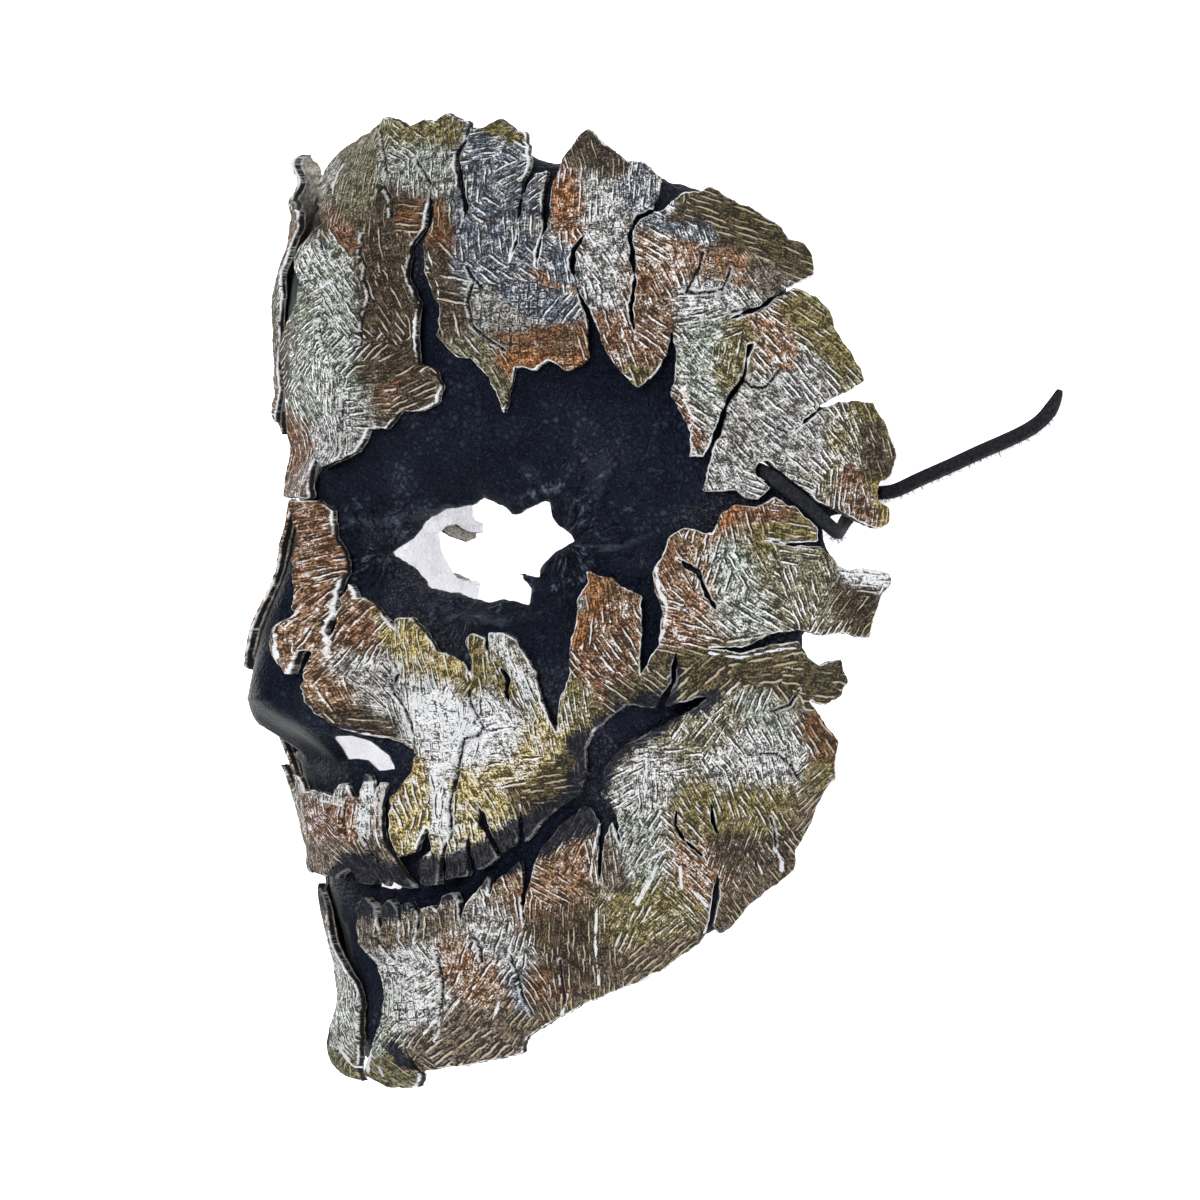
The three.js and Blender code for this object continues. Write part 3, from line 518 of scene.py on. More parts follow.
class Paint:
    """A material under construction."""

    def __init__(self, name):
        self.material = bpy.data.materials.new(name)
        self.material.use_nodes = True
        self.tree = self.material.node_tree
        self.shader = self.tree.nodes["Principled BSDF"]

    def feed(self, socket, value):
        """Links a shade to a socket, or gives the socket a plain value."""
        if isinstance(value, Shade):
            self.tree.links.new(value.socket, socket)
        else:
            socket.default_value = value

    def node(self, kind, settings=None, values=None, output=0):
        """Adds a node with its settings, then the values or links of its sockets."""
        made = self.tree.nodes.new(kind)
        for key, value in (settings or {}).items():
            setattr(made, key, value)
        pairs = values.items() if isinstance(values, dict) else enumerate(values or [])
        for key, value in pairs:
            self.feed(made.inputs[key], value)
        return Shade(self, made.outputs[output])

    def of(self, name, output="Fac"):
        """What the mesh says at each point under a name."""
        return self.node("ShaderNodeAttribute", {"attribute_name": name}, output=output)

    def flat_place(self, name):
        """The place on a flat map of the leather."""
        return self.node("ShaderNodeUVMap", {"uv_map": name})

    def parts(self, vector):
        """The across and along numbers of a flat place."""
        node = self.node("ShaderNodeSeparateXYZ", None, [vector]).socket.node
        return Shade(self, node.outputs["X"]), Shade(self, node.outputs["Y"])

    def stretched(self, vector, scale):
        return self.node("ShaderNodeMapping", None, {"Vector": vector, "Scale": scale})

    def chance(self, number):
        """An even random number for each whole number."""
        return self.node("ShaderNodeTexWhiteNoise", {"noise_dimensions": "1D"}, {"W": number},
                         "Value")

    def chance_at(self, first, second):
        """An even random number for each pair of whole numbers."""
        return self.chance(first * 7.31 + second * 3.17)

    def place(self):
        return self.node("ShaderNodeTexCoord", output="Object")

    def noise(self, vector, scale, detail=2.0, roughness=0.5, distortion=0.0):
        return self.node("ShaderNodeTexNoise", None,
                         {"Vector": vector, "Scale": scale, "Detail": detail,
                          "Roughness": roughness, "Distortion": distortion}, "Fac")

    def pebbles(self, vector, scale):
        """Distance from the borders between the pebbles of the grain."""
        return self.node("ShaderNodeTexVoronoi", {"feature": "DISTANCE_TO_EDGE"},
                         {"Vector": vector, "Scale": scale, "Randomness": 1.0}, "Distance")

    def mix(self, share, low, high):
        """A colour between two, which are sockets 6 and 7 of a Mix node, as its third output."""
        low, high = ((*c, 1) if isinstance(c, tuple) else c for c in (low, high))
        return self.node("ShaderNodeMix", {"data_type": "RGBA"}, {0: share, 6: low, 7: high}, 2)

    def bump(self, height, strength, distance):
        return self.node("ShaderNodeBump", None,
                         {"Height": height, "Strength": strength, "Distance": distance})

    def finish(self, **inputs):
        for key, value in inputs.items():
            self.feed(self.shader.inputs[key.replace("_", " ")], value)
        return self.material


# The dye and its worn places, painted highlights on folds and grain with painted shade in their
# creases, a painted sheen at grazing angles, and the pale lining.
DEEP_DYE, WORN_DYE = (0.003, 0.004, 0.0095), (0.008, 0.0105, 0.022)
FOLD_SHINE, FOLD_SHADE = (0.085, 0.1, 0.135), (0.0004, 0.0005, 0.001)
GRAIN_SHINE, SIDE_SHINE = (0.05, 0.058, 0.08), (0.13, 0.14, 0.125)
BROWN_WEAR, DUST = (0.022, 0.017, 0.014), (0.16, 0.13, 0.09)
LINING, PALE_LINING = (0.82, 0.81, 0.85), (0.95, 0.94, 0.97)

black = Paint("black_leather")
place = black.place()
grain = black.noise(place, 2100, 3, 0.65)
pebbles = black.pebbles(place, 900)
cells = black.pebbles(place, 560)
wrinkle = black.noise(place, 150, 4, 0.62, 1.2)
crease = 1 - ((wrinkle - 0.5).size() * 16).step(0, 1)
cloud = black.noise(place, 26, 3, 0.55)
speck = black.noise(place, 1900, 2, 0.7).step(0.58, 0.66) * cloud.step(0.47, 0.62)
colour = black.mix(cloud.step(0.35, 0.7), DEEP_DYE, WORN_DYE)
fold = black.of("fold")
side, up = black.parts(black.flat_place("leather"))
# Fine wrinkles spread from the corners of both eyes: ridges where this is more than nothing, and
# creases where it is less.
spread = 0
for corner, reach, _, _ in EYE_CORNERS:
    middle = flat(on_face([corner], 0))[0] / FLAT_MAP
    over, above = side.size() - middle[0], up - middle[1]
    away = (over**2 + above**2 + 0.0001) ** 0.5
    around = black.node("ShaderNodeCombineXYZ", None, [over / away, above / away, away * 5])
    near = 1 - away.step(0.05, reach * DRAWING_SCALE * 0.016)
    spread = near * (black.noise(around, 7, 4, 0.62) - 0.5) * 2 + spread
# Painted highlight: the tops of grain cells, folds and eye wrinkles are lightened in the colour.
fold_highlight = (cells.step(0.08, 0.4) * cloud.step(0.36, 0.6) * wrinkle.step(0.4, 0.6) * 0.4
          + fold.step(0.08, 0.5) * 0.25 + spread.step(0.05, 0.3) * wrinkle.step(0.42, 0.6) * 0.8)
colour = black.mix(fold_highlight, colour, FOLD_SHINE)
# Painted shade: the creases and the hollows between the eye wrinkles are darkened in the colour.
groove_shade = (crease * 0.4).larger((spread * -1).step(0.03, 0.2) * 0.9)
colour = black.mix(groove_shade, colour, FOLD_SHADE)
# Painted highlight on the tops of the fine grain.
colour = black.mix(grain.step(0.54, 0.68) * 0.35, colour, GRAIN_SHINE)
colour = black.mix((cloud.step(0.52, 0.72) * grain.step(0.45, 0.6)) * 0.5, colour, BROWN_WEAR)
colour = black.mix(speck * 0.5, colour, DUST)
# Painted sheen: the colour lightens where the surface turns away from the camera.
grazing = black.node("ShaderNodeLayerWeight", None, {"Blend": 0.35}, "Facing")
colour = black.mix(grazing.step(0.45, 0.95) * 0.8, colour, SIDE_SHINE)
inside = black.of("back")
lining = black.mix(black.noise(place, 60, 4, 0.6).step(0.3, 0.75), LINING, PALE_LINING)
colour = black.mix(inside, colour, lining)
relief = (grain * 0.9 + pebbles.step(0, 0.25) * 0.2 + wrinkle * 2.2 - crease * 0.4
          + cells.step(0, 0.3) * 0.5 + spread * 1.5)
under_mask.data.materials.append(black.finish(
    Base_Color=colour, Roughness=0.27 + 0.3 * grain + 0.3 * inside,
    Normal=black.bump(relief, 0.9, 0.0007), Specular_IOR_Level=0.06,
    Specular_Tint=(0.7, 0.82, 1.0, 1), Sheen_Weight=0.012, Sheen_Roughness=0.35,
    Sheen_Tint=(0.75, 0.85, 0.95, 1)))

# The forehead sheets: thick outer leather, torn and slit while wet, tooled with short strokes,
# then rubbed with silver, bronze and rust paint. The left one folds back at the temple and has
# the lace hole.
SHEET_THICKNESS = 2.4
SHEET_CLEARANCE = 0.4
SHEET_FLOOR = 0.3
# The tool's strokes, thin cracks and their raised lips, drops of paint, and the torn edges.
STROKE_LENGTH, STROKE_DEPTH = 10.0, 0.24
FINE_CRACK_DEPTH, FINE_CRACK_LIP, DROP_HEIGHT = 0.9, 0.35, 0.25
EDGE_LIFT, EDGE_LIFT_REACH, EDGE_ROUNDING = 2.2, 3.2, 0.6

FOREHEAD_EDGE = [
    (318, 179), (331, 163), (346, 150), (356, 139), (368, 133), (383, 123), (388, 117), (400, 119),
    (413, 128), (430, 120), (441, 122), (452, 113), (463, 121), (474, 121), (479, 130), (490, 128),
    (501, 119), (514, 128), (526, 134), (530, 152), (531, 163), (523, 182), (529, 184), (536, 174),
    (546, 172), (547, 184), (558, 166), (566, 154), (580, 136), (590, 128), (600, 140), (613, 150),
    (627, 161), (643, 161), (663, 179), (657, 198), (651, 214), (663, 210), (681, 193), (698, 192),
    (711, 186), (733, 200), (760, 214), (779, 226), (785, 240), (801, 243), (810, 254), (813, 276),
    (800, 282), (789, 289), (800, 288), (818, 299), (830, 312), (837, 334), (848, 352), (864, 382),
    (845, 392), (822, 405), (790, 434), (824, 409), (842, 401), (872, 403), (882, 420), (894, 457),
    (888, 477), (879, 483), (877, 492), (880, 501), (891, 508), (890, 523), (880, 530), (866, 526),
    (850, 517), (832, 508), (812, 498), (790, 485), (772, 487), (757, 500), (745, 498), (735, 491),
    (703, 491), (708, 470), (712, 452), (720, 436), (725, 417), (731, 401), (745, 380), (748, 358),
    (758, 338), (746, 345), (742, 376), (726, 397), (716, 424), (704, 458), (690, 457), (690, 437),
    (684, 418), (669, 393), (676, 374), (677, 356), (671, 329), (668, 352), (655, 374), (638, 388),
    (621, 373), (604, 348), (595, 320), (580, 290), (574, 268), (576, 252), (593, 223), (582, 236),
    (570, 250), (569, 268), (576, 290), (586, 314), (588, 359), (566, 371), (548, 360), (534, 370),
    (512, 366), (504, 415), (497, 396), (487, 380), (467, 357), (455, 358), (441, 336), (443, 306),
    (427, 272), (424, 242), (433, 214), (431, 185), (426, 205), (421, 227), (409, 246), (407, 276),
    (422, 302), (419, 345), (421, 363), (438, 372), (441, 388), (436, 401), (420, 410), (398, 412),
    (384, 428), (368, 429), (356, 452), (343, 460), (325, 467), (316, 458), (314, 470), (312, 498),
]
# Along the seams, and at the far edge, places are degrees from the nose and heights.
FOREHEAD_SEAM = [
    (-6, 25), (-7, 33), (-8, 42), (-9, 52), (-9, 62), (-4, 68), (-1, 72), (-0.5, 77), (-2.5, 80.5),
    (-3.5, 84), (-2, 88), (-1.5, 92), (-3, 95.5), (-8, 98.5), (-13.5, 101.5),
]
FAR_FOREHEAD_SEAM = [
    (-24, 107.5), (-21, 105), (-20, 110), (-18.2, 112), (-17.6, 106), (-17, 101.5), (-12, 97),
    (-6, 95), (-5, 91), (-7.5, 86), (-9, 79), (-10, 73), (-11, 67), (-13, 62), (-14, 54),
    (-14, 44),
]
FAR_FOREHEAD_END = -25
# Cracks: places of the middle line, with the width there.
FOREHEAD_CRACKS = [
    [(477, 118, 5), (474, 142, 4), (464, 154, 5), (460, 168, 7), (461, 186, 6), (466, 205, 5),
     (464, 220, 3), (460, 232, 1)],
    [(527, 178, 7), (521, 195, 4), (519, 215, 3), (519, 240, 3), (508, 268, 1)],
    [(556, 160, 12), (546, 195, 9), (545, 215, 9), (546, 228, 5), (541, 245, 4), (536, 268, 2)],
    [(653, 211, 5), (638, 217, 4), (630, 232, 5), (632, 255, 5), (635, 280, 5), (631, 303, 5),
     (632, 322, 3), (637, 340, 1)],
    [(796, 286, 4), (772, 299, 3), (760, 308, 4), (748, 312, 4), (730, 319, 1)],
]
LACE_GROOVE = [(766, 471, 19), (789, 490, 19), (812, 508, 19), (834, 527, 19)]


def crack_outline(line):
    """The outline of a crack, pointed where it ends, from its middle line and widths."""
    points = np.array(line, float)
    along = np.gradient(points[:, :2], axis=0)
    along /= np.linalg.norm(along, axis=1, keepdims=True)
    aside = np.stack([-along[:, 1], along[:, 0]], -1) * points[:, 2:] / 2
    return np.concatenate([points[:, :2] + aside, (points[:, :2] - aside)[::-1]])


# Corners that curled up as the leather dried: degrees, height, reach, rise.
RIM_CURLS = [(88, 34, 9, 1.6), (88, 4, 8, 1.6), (84, 52, 8, 1.4)]
FAR_BROW_CURLS = [(-18, 110.5, 5.5, 8.5), (-16, 101, 6, 4.5), (-8, 95, 6, 2)]
FAR_CHIN_CURLS = [(-8, -113, 9, 5)]


def stand_off(degrees, y, curls):
    """How far a sheet stands off the under-mask: a slow ripple, and lobes that curl up."""
    gap = SHEET_CLEARANCE + 0.5 * (1 + np.sin(degrees / 7) * np.cos(y / 9))
    both_sides = [(np.abs(degrees), curl) for curl in RIM_CURLS]
    for turned, (at, height, reach, rise) in both_sides + [(degrees, curl) for curl in curls]:
        across = (turned - at) * ARC / reach
        gap = gap + rise * np.exp(-(across**2) - ((y - height) / reach) ** 2)
    return gap


# The tool's patches on the forehead, in the side drawing: across, down, slope of the strokes in
# degrees, millimetres between strokes. Stamps are rows of small squares.
FOREHEAD_STROKES = [
    (455, 138, 84, 1.2), (420, 140, 35, 1.3), (430, 172, 94, 1.1), (365, 165, 106, 0.9),
    (350, 200, 104, 1.0), (312, 215, 118, 1.0), (382, 215, 98, 1.3), (404, 212, 5, 1.5),
    (375, 250, 80, 1.4), (392, 300, 58, 1.5), (340, 258, 52, 1.6), (348, 315, 50, 1.4),
    (345, 348, -46, 1.4), (300, 318, -35, 1.4), (292, 365, -58, 1.1), (330, 385, 95, 1.4),
    (305, 410, 62, 1.3), (408, 378, -25, 1.6), (372, 392, -8, 1.6), (365, 435, 4, 1.6),
    (318, 448, 90, 1.3), (345, 445, 88, 1.2), (444, 215, 88, 1.4), (440, 255, 45, 1.7),
    (450, 285, 12, 1.8), (450, 325, 82, 1.4), (465, 348, 50, 1.4), (488, 378, 62, 1.3),
    (515, 150, 25, 1.7), (508, 172, -23, 1.7), (480, 140, -10, 1.4), (480, 180, 92, 1.4),
    (485, 205, 35, 1.5), (500, 225, 85, 1.3), (475, 240, 88, 1.4), (492, 265, 38, 1.5),
    (528, 190, -38, 1.3), (526, 225, 88, 1.3), (530, 258, 35, 1.5), (555, 312, -50, 1.4),
    (560, 270, 80, 1.4), (575, 195, 92, 1.3), (590, 150, 75, 1.0), (608, 195, 90, 1.3),
    (645, 185, 96, 1.2), (600, 262, 55, 1.4), (618, 300, 68, 1.4), (600, 320, 74, 1.4),
    (655, 238, 28, 1.4), (658, 275, 60, 1.4), (650, 325, 35, 1.5), (625, 355, 70, 1.4),
    (740, 215, 19, 1.4), (785, 255, 22, 1.4), (690, 262, 70, 1.4), (745, 278, 55, 1.3),
    (690, 302, -8, 1.6), (720, 325, -18, 1.6), (695, 358, 48, 1.5), (700, 395, 36, 1.6),
    (732, 345, 100, 1.4), (765, 345, 45, 1.5), (802, 322, 34, 1.5), (834, 355, 48, 1.4),
    (795, 372, 50, 1.5), (745, 435, 48, 1.6), (770, 410, 40, 1.6), (800, 450, 42, 1.5),
    (830, 440, 55, 1.4), (862, 415, 70, 1.3), (872, 470, 74, 1.3), (850, 490, 97, 1.3),
    (700, 470, 60, 1.4), (780, 478, 20, 1.4),
]
FOREHEAD_STAMPS = [
    (500, 312, 4, 2.2), (538, 300, -3, 2.1), (520, 335, 2, 2.1), (548, 340, 0, 1.9),
    (560, 205, 92, 1.9), (622, 228, 90, 1.8), (715, 272, 8, 1.9),
]
# Paint rubbed on with a cloth: linear colour, how silvery it is, reach, and middle line in the
# side drawing.
OLIVE_GOLD, DARK_OLIVE, DRY_OLIVE = (0.3, 0.25, 0.06), (0.1, 0.083, 0.03), (0.28, 0.26, 0.14)
PALE_GREEN, STEEL, PEWTER = (0.42, 0.48, 0.4), (0.13, 0.17, 0.24), (0.48, 0.48, 0.47)
RUST, ORANGE, BROWN = (0.27, 0.095, 0.02), (0.52, 0.19, 0.035), (0.055, 0.031, 0.01)
COPPER, GOLD, WHITE = (0.42, 0.2, 0.08), (0.72, 0.56, 0.17), (0.86, 0.88, 0.91)
# The last colour here is a painted shadow for a hollow, not a paint.
TAUPE, SHADOW_BLACK = (0.25, 0.2, 0.155), (0.01, 0.011, 0.018)
FOREHEAD_PAINT = [
    (OLIVE_GOLD, 0.4, 20, [(400, 128), (455, 128), (470, 135)]),
    (PALE_GREEN, 0.6, 18, [(405, 162), (440, 165), (455, 180)]),
    (DRY_OLIVE, 0.35, 18, [(385, 130), (365, 200)]), (PEWTER, 0.5, 12, [(335, 168)]),
    # The near-black entry beside the seam is a painted shadow in the hollow there.
    (DRY_OLIVE, 0.5, 14, [(312, 180), (300, 230)]), (SHADOW_BLACK, 0, 8, [(322, 208), (328, 232)]),
    (RUST, 0.3, 10, [(348, 222), (357, 245)]), (BROWN, 0.25, 15, [(395, 205), (385, 240)]),
    (RUST, 0.2, 9, [(410, 215)]), (BROWN, 0.25, 20, [(385, 265), (395, 330)]),
    (BROWN, 0.25, 17, [(388, 360), (420, 388)]), (RUST, 0.35, 8, [(400, 395), (415, 375)]),
    (PALE_GREEN, 0.75, 20, [(338, 260), (345, 330), (338, 390)]),
    (PALE_GREEN, 0.5, 15, [(312, 300), (318, 400)]), (BROWN, 0.25, 12, [(290, 335), (288, 380)]),
    (RUST, 0.35, 13, [(300, 425), (312, 455)]), (PEWTER, 0.6, 13, [(345, 420), (335, 455)]),
    (RUST, 0.25, 13, [(445, 212), (450, 238)]), (BROWN, 0.25, 13, [(445, 262), (455, 320)]),
    (DRY_OLIVE, 0.4, 12, [(470, 350), (490, 375)]), (STEEL, 0.6, 20, [(485, 145), (522, 165)]),
    (OLIVE_GOLD, 0.3, 9, [(495, 125), (522, 140)]), (STEEL, 0.5, 22, [(480, 185), (492, 240)]),
    (PEWTER, 0.4, 15, [(490, 300), (520, 320)]), (STEEL, 0.55, 22, [(500, 270), (545, 300)]),
    (STEEL, 0.5, 15, [(530, 200), (526, 240)]), (STEEL, 0.55, 14, [(560, 250), (566, 300)]),
    (RUST, 0.25, 9, [(512, 345), (550, 335), (585, 338)]),
    (ORANGE, 0.35, 7, [(515, 362), (548, 358), (570, 364), (588, 354)]),
    (COPPER, 0.5, 8, [(545, 275), (575, 290)]), (BROWN, 0.25, 15, [(588, 138), (612, 162)]),
    (ORANGE, 0.5, 12, [(566, 190), (572, 232)]), (PEWTER, 0.8, 13, [(600, 190), (612, 245)]),
    (STEEL, 0.7, 11, [(640, 180), (648, 205)]), (WHITE, 0.9, 9, [(667, 190), (670, 206)]),
    (DARK_OLIVE, 0.12, 20, [(690, 205), (740, 225), (790, 258)]),
    (BROWN, 0.2, 10, [(680, 215), (702, 222)]), (STEEL, 0.6, 9, [(655, 222), (705, 234)]),
    (COPPER, 0.7, 15, [(655, 255), (682, 262)]), (RUST, 0.5, 14, [(645, 290), (655, 340)]),
    (PEWTER, 0.75, 11, [(600, 265), (614, 300)]), (RUST, 0.6, 13, [(612, 330), (632, 350)]),
    (OLIVE_GOLD, 0.3, 8, [(635, 375)]), (COPPER, 0.5, 11, [(715, 265), (738, 268)]),
    (TAUPE, 0.4, 13, [(758, 275), (778, 286)]), (PEWTER, 0.8, 12, [(690, 302), (742, 300)]),
    (PALE_GREEN, 0.7, 16, [(698, 345), (702, 395)]),
    (OLIVE_GOLD, 0.5, 13, [(738, 335), (722, 375)]),
    (OLIVE_GOLD, 0.35, 19, [(798, 308), (842, 350)]), (COPPER, 0.6, 13, [(765, 330), (782, 362)]),
    (PEWTER, 0.6, 15, [(805, 372), (770, 400)]),
    (PEWTER, 0.6, 19, [(748, 420), (790, 430), (812, 455)]),
    (OLIVE_GOLD, 0.7, 12, [(838, 425), (822, 470)]), (BROWN, 0.3, 13, [(868, 430), (878, 470)]),
    (OLIVE_GOLD, 0.2, 10, [(862, 405), (885, 440)]), (GOLD, 0.2, 9, [(875, 490), (884, 515)]),
    (RUST, 0.6, 11, [(842, 480), (856, 508)]), (PEWTER, 0.7, 11, [(700, 465), (722, 482)]),
    (RUST, 0.7, 9, [(682, 400), (692, 440)]),
]
# Thin cracks that don't go through, and drops and smears of white paint: half width, middle line.
FOREHEAD_FINE_CRACKS = [
    [(384, 135), (389, 155), (390, 175), (385, 186), (393, 200), (392, 217)],
    [(419, 160), (431, 183)], [(383, 187), (375, 199)], [(320, 200), (321, 225), (322, 250)],
    [(324, 312), (321, 325), (324, 342), (327, 352)], [(352, 152), (342, 168), (333, 198)],
    [(467, 266), (472, 278), (481, 287)],
    [(472, 284), (466, 300), (469, 325), (484, 338), (503, 350)],
    [(361, 235), (358, 255), (364, 266), (362, 280), (369, 297), (366, 312), (362, 345)],
    [(343, 400), (341, 440), (343, 460)],
    [(741, 377), (752, 387), (765, 388), (773, 380), (780, 370)],
    [(703, 252), (700, 266), (692, 280), (686, 292), (700, 293), (722, 290), (727, 280), (731, 268)],
    [(730, 312), (745, 309), (760, 310), (771, 300), (782, 290)], [(790, 434), (778, 428)],
]
FOREHEAD_DRIPS = [
    (4, [(346, 164), (341, 176), (336, 194)]), (2.5, [(733, 500), (722, 518), (713, 538)]),
    (1, [(428, 240), (441, 285), (443, 300)]), (2, [(597, 345), (612, 370), (632, 380)]),
    (2, [(686, 405), (694, 420), (688, 428)]), (2, [(664, 375), (682, 392), (690, 400)]),
]


def mix_of_paint(places, rubbed):
    """Colour, and silver as the fourth number, where rubbed paints meet and fade together."""
    total = np.full(len(places), 1e-9)
    colour = np.zeros((len(places), 4))
    for paint, silver, reach, line in rubbed:
        weight = 1 / (0.04 + (line_distance(places, line) / reach) ** 2) ** 2.2
        total += weight
        colour += weight[:, None] * np.array([*paint, silver])
    return colour / total[:, None]


class Tooling:
    """Patches of strokes and stamps on flat leather, each with its own slope and spacing."""

    def __init__(self, strokes, stamps):
        rows = np.array(strokes + stamps, float)
        slope = np.radians(rows[:, 2])
        step = 6 * np.stack([np.cos(slope), np.sin(slope)], -1)
        self.middle = flat(on_face(rows[:, :2], SHEET_LIFT))
        ahead = flat(on_face(rows[:, :2] + step, SHEET_LIFT)) - self.middle
        self.along = ahead / np.linalg.norm(ahead, axis=1, keepdims=True)
        self.spacing = rows[:, 3]
        self.strength = np.random.RandomState(9).uniform(0.5, 1.15, len(rows))
        self.stamped = np.arange(len(rows)) >= len(strokes)

    def patch(self, s, t):
        """The number of the patch at each place, with uneven borders."""
        s = s + 2.2 * ripple(s, t, 4, 71)
        t = t + 2.2 * ripple(s, t, 4, 72)
        distance = [(s - x) ** 2 + (t - y) ** 2 for x, y in self.middle]
        return np.argmin(distance, axis=0)

    def place(self, s, t, patch):
        """Along and across the strokes, counted in strokes, or in squares where it is stamped."""
        x, y = s - self.middle[patch, 0], t - self.middle[patch, 1]
        ahead = self.along[patch]
        long = np.where(self.stamped, self.spacing, STROKE_LENGTH)[patch]
        return ((x * ahead[:, 0] + y * ahead[:, 1]) / long,
                (y * ahead[:, 0] - x * ahead[:, 1]) / self.spacing[patch])

    def relief(self, s, t, patch):
        """How far the tool pressed in: rows of furrows, or a grid of squares."""
        u, v = self.place(s, t, patch)
        furrows = 0.5 + 0.5 * np.cos(2 * math.pi * v)
        grid = np.maximum(np.abs(u % 1 - 0.5), np.abs(v % 1 - 0.5)) * 2
        return np.where(self.stamped[patch], smooth_step(0.7, 0.95, grid), furrows)

    def mark(self, piece, side):
        """Gives a piece the flat map of its tooling and says where it is stamped."""
        mesh = piece.data
        corners = np.empty(len(mesh.loops) * 2, np.float32)
        mesh.uv_layers["leather"].data.foreach_get("uv", corners)
        corners = corners.reshape(-1, 3, 2) * FLAT_MAP
        s, t = corners[..., 0] * side, corners[..., 1]
        patch = self.patch(s.mean(1), t.mean(1))
        u, v = self.place(s.ravel(), t.ravel(), np.repeat(patch, 3))
        tooled = mesh.uv_layers.new(name="tooling")
        tooled.data.foreach_set("uv", np.stack([u, v], -1).ravel())
        stamped = mesh.attributes.new("stamped", "FLOAT", "FACE")
        stamped.data.foreach_set("value", self.stamped[patch].astype(np.float32))


def nearest_line(s, t, lines):
    """Distance over the flat leather from the nearest of some lines in the side drawing."""
    places = np.stack([s, t], -1)
    laid_lines = [flat(on_face(line, SHEET_LIFT)) for line in lines]
    return np.min([line_distance(places, line) for line in laid_lines], axis=0)


def outer_sheet(name, node, side, outline, openings, low, high, spacing, seed, tooling,
                paint, fine_cracks, drips, dark=(), curls=()):
    """A torn, tooled and painted sheet. Side is 1 on the wearer's left, -1 on the right.

    Low and high are the corners of the flat leather that it is cut from.
    """
    outline = flat(outline)
    openings = [flat(opening) for opening in openings]

    def field(s, t):
        f = tear_distance(s, t, outline)
        for opening in openings:
            f = np.maximum(f, -tear_distance(s, t, opening))
        return f + 0.3 * ripple(s, t, 1.9, seed) + 0.15 * ripple(s, t, 0.8, seed + 1)

    cut = Cut(field, low, high, spacing)
    degrees = cut.s / ARC
    base = stand_off(degrees, cut.t, curls)
    near_s = cut.s * side
    drawn = in_drawing(degrees * side, cut.t)
    drawn += 5 * np.stack([ripple(near_s, cut.t, 3, 75), ripple(near_s, cut.t, 3, 76)], -1)
    crack = nearest_line(near_s, cut.t, fine_cracks)
    drop = np.full(len(near_s), 9.0)
    places = np.stack([near_s, cut.t], -1)
    for reach, line in drips:
        away = line_distance(places, flat(on_face(line, SHEET_LIFT)))
        drop = np.minimum(drop, away / (reach * DRAWING_SCALE * 0.65))
    drop += 0.5 * ripple(near_s, cut.t, 1.7, seed + 7)
    patch = tooling.patch(near_s, cut.t)
    press = (0.7 + 0.45 * ripple(near_s, cut.t, 5, seed + 5)) * tooling.strength[patch]
    untorn = smooth_step(0.3, 1.6, cut.edge)
    lump = 0.65 * ripple(cut.s, cut.t, 12, seed + 2) + 0.28 * ripple(cut.s, cut.t, 4.5, seed + 3)
    rough = 0.16 * ripple(cut.s, cut.t, 1.3, seed + 6)
    curled = np.clip(ripple(cut.s, cut.t, 13, seed + 4) + 0.1, 0, 1)
    lift = EDGE_LIFT * np.exp(-cut.edge / EDGE_LIFT_REACH) * curled
    rounding = np.clip(1 - cut.edge / EDGE_ROUNDING, 0, 1) ** 2
    outer = base + SHEET_THICKNESS - 0.2 + lump + rough + lift - EDGE_ROUNDING * rounding
    outer -= STROKE_DEPTH * press * untorn * tooling.relief(near_s, cut.t, patch)
    outer += (-FINE_CRACK_DEPTH * np.exp(-((crack / 0.6) ** 2))
              + FINE_CRACK_LIP * np.exp(-(((crack - 1.2) / 0.5) ** 2)))
    outer += DROP_HEIGHT * np.clip(1.2 - drop, 0, 1)
    inner = base + 0.85 * lift + 0.4 * lump
    # Places darkened with black paint, or with painted shade in hollows.
    dark_paint_and_shade = np.zeros(len(near_s))
    for reach, line in dark:
        dark_paint_and_shade = np.maximum(dark_paint_and_shade, 1 - smooth_step(0.4, 1.5, line_distance(drawn, line) / reach))
    piece = leather_mesh(name, cut, inner, outer, wall_rows=4, floor=SHEET_FLOOR, extra={
        "patina": mix_of_paint(drawn, paint), "press": press, "crack": crack, "drop": drop,
        "dark_paint_and_shade": dark_paint_and_shade})
    tooling.mark(piece, side)
    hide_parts(node)
    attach(piece, "root")
    return piece


# Colours on every outer sheet beside its own paints: bare places, silver and cream on the high
# strokes with painted highlights, painted shade in the furrows, cracks with pale lips, the slate of
# black-painted places and of painted shade in hollows, torn edges, drops and the flesh side.
BARE_DARK, PALE_METAL, BRIGHT_SILVER = (0.006, 0.005, 0.005), (0.78, 0.79, 0.8), (0.86, 0.87, 0.89)
CREAM_AND_RIDGE_HIGHLIGHT, COOL_GLINT, BARE_FURROW_AND_SHADE = (0.45, 0.37, 0.24), (0.72, 0.74, 0.78), (0.014, 0.013, 0.015)
CRACK_LIP, CRACK_DARK, DROP_PAINT = (0.6, 0.61, 0.63), (0.003, 0.003, 0.004), (0.7, 0.72, 0.75)
SLATE_DARK, SLATE_LIGHT, RIM_PALE = (0.003, 0.0038, 0.0085), (0.032, 0.036, 0.05), (0.8, 0.81, 0.83)
WALL_DARK, WALL_PALE = (0.008, 0.007, 0.007), (0.4, 0.4, 0.41)
FLESH_DARK, FLESH_PALE = (0.25, 0.22, 0.18), (0.72, 0.68, 0.61)


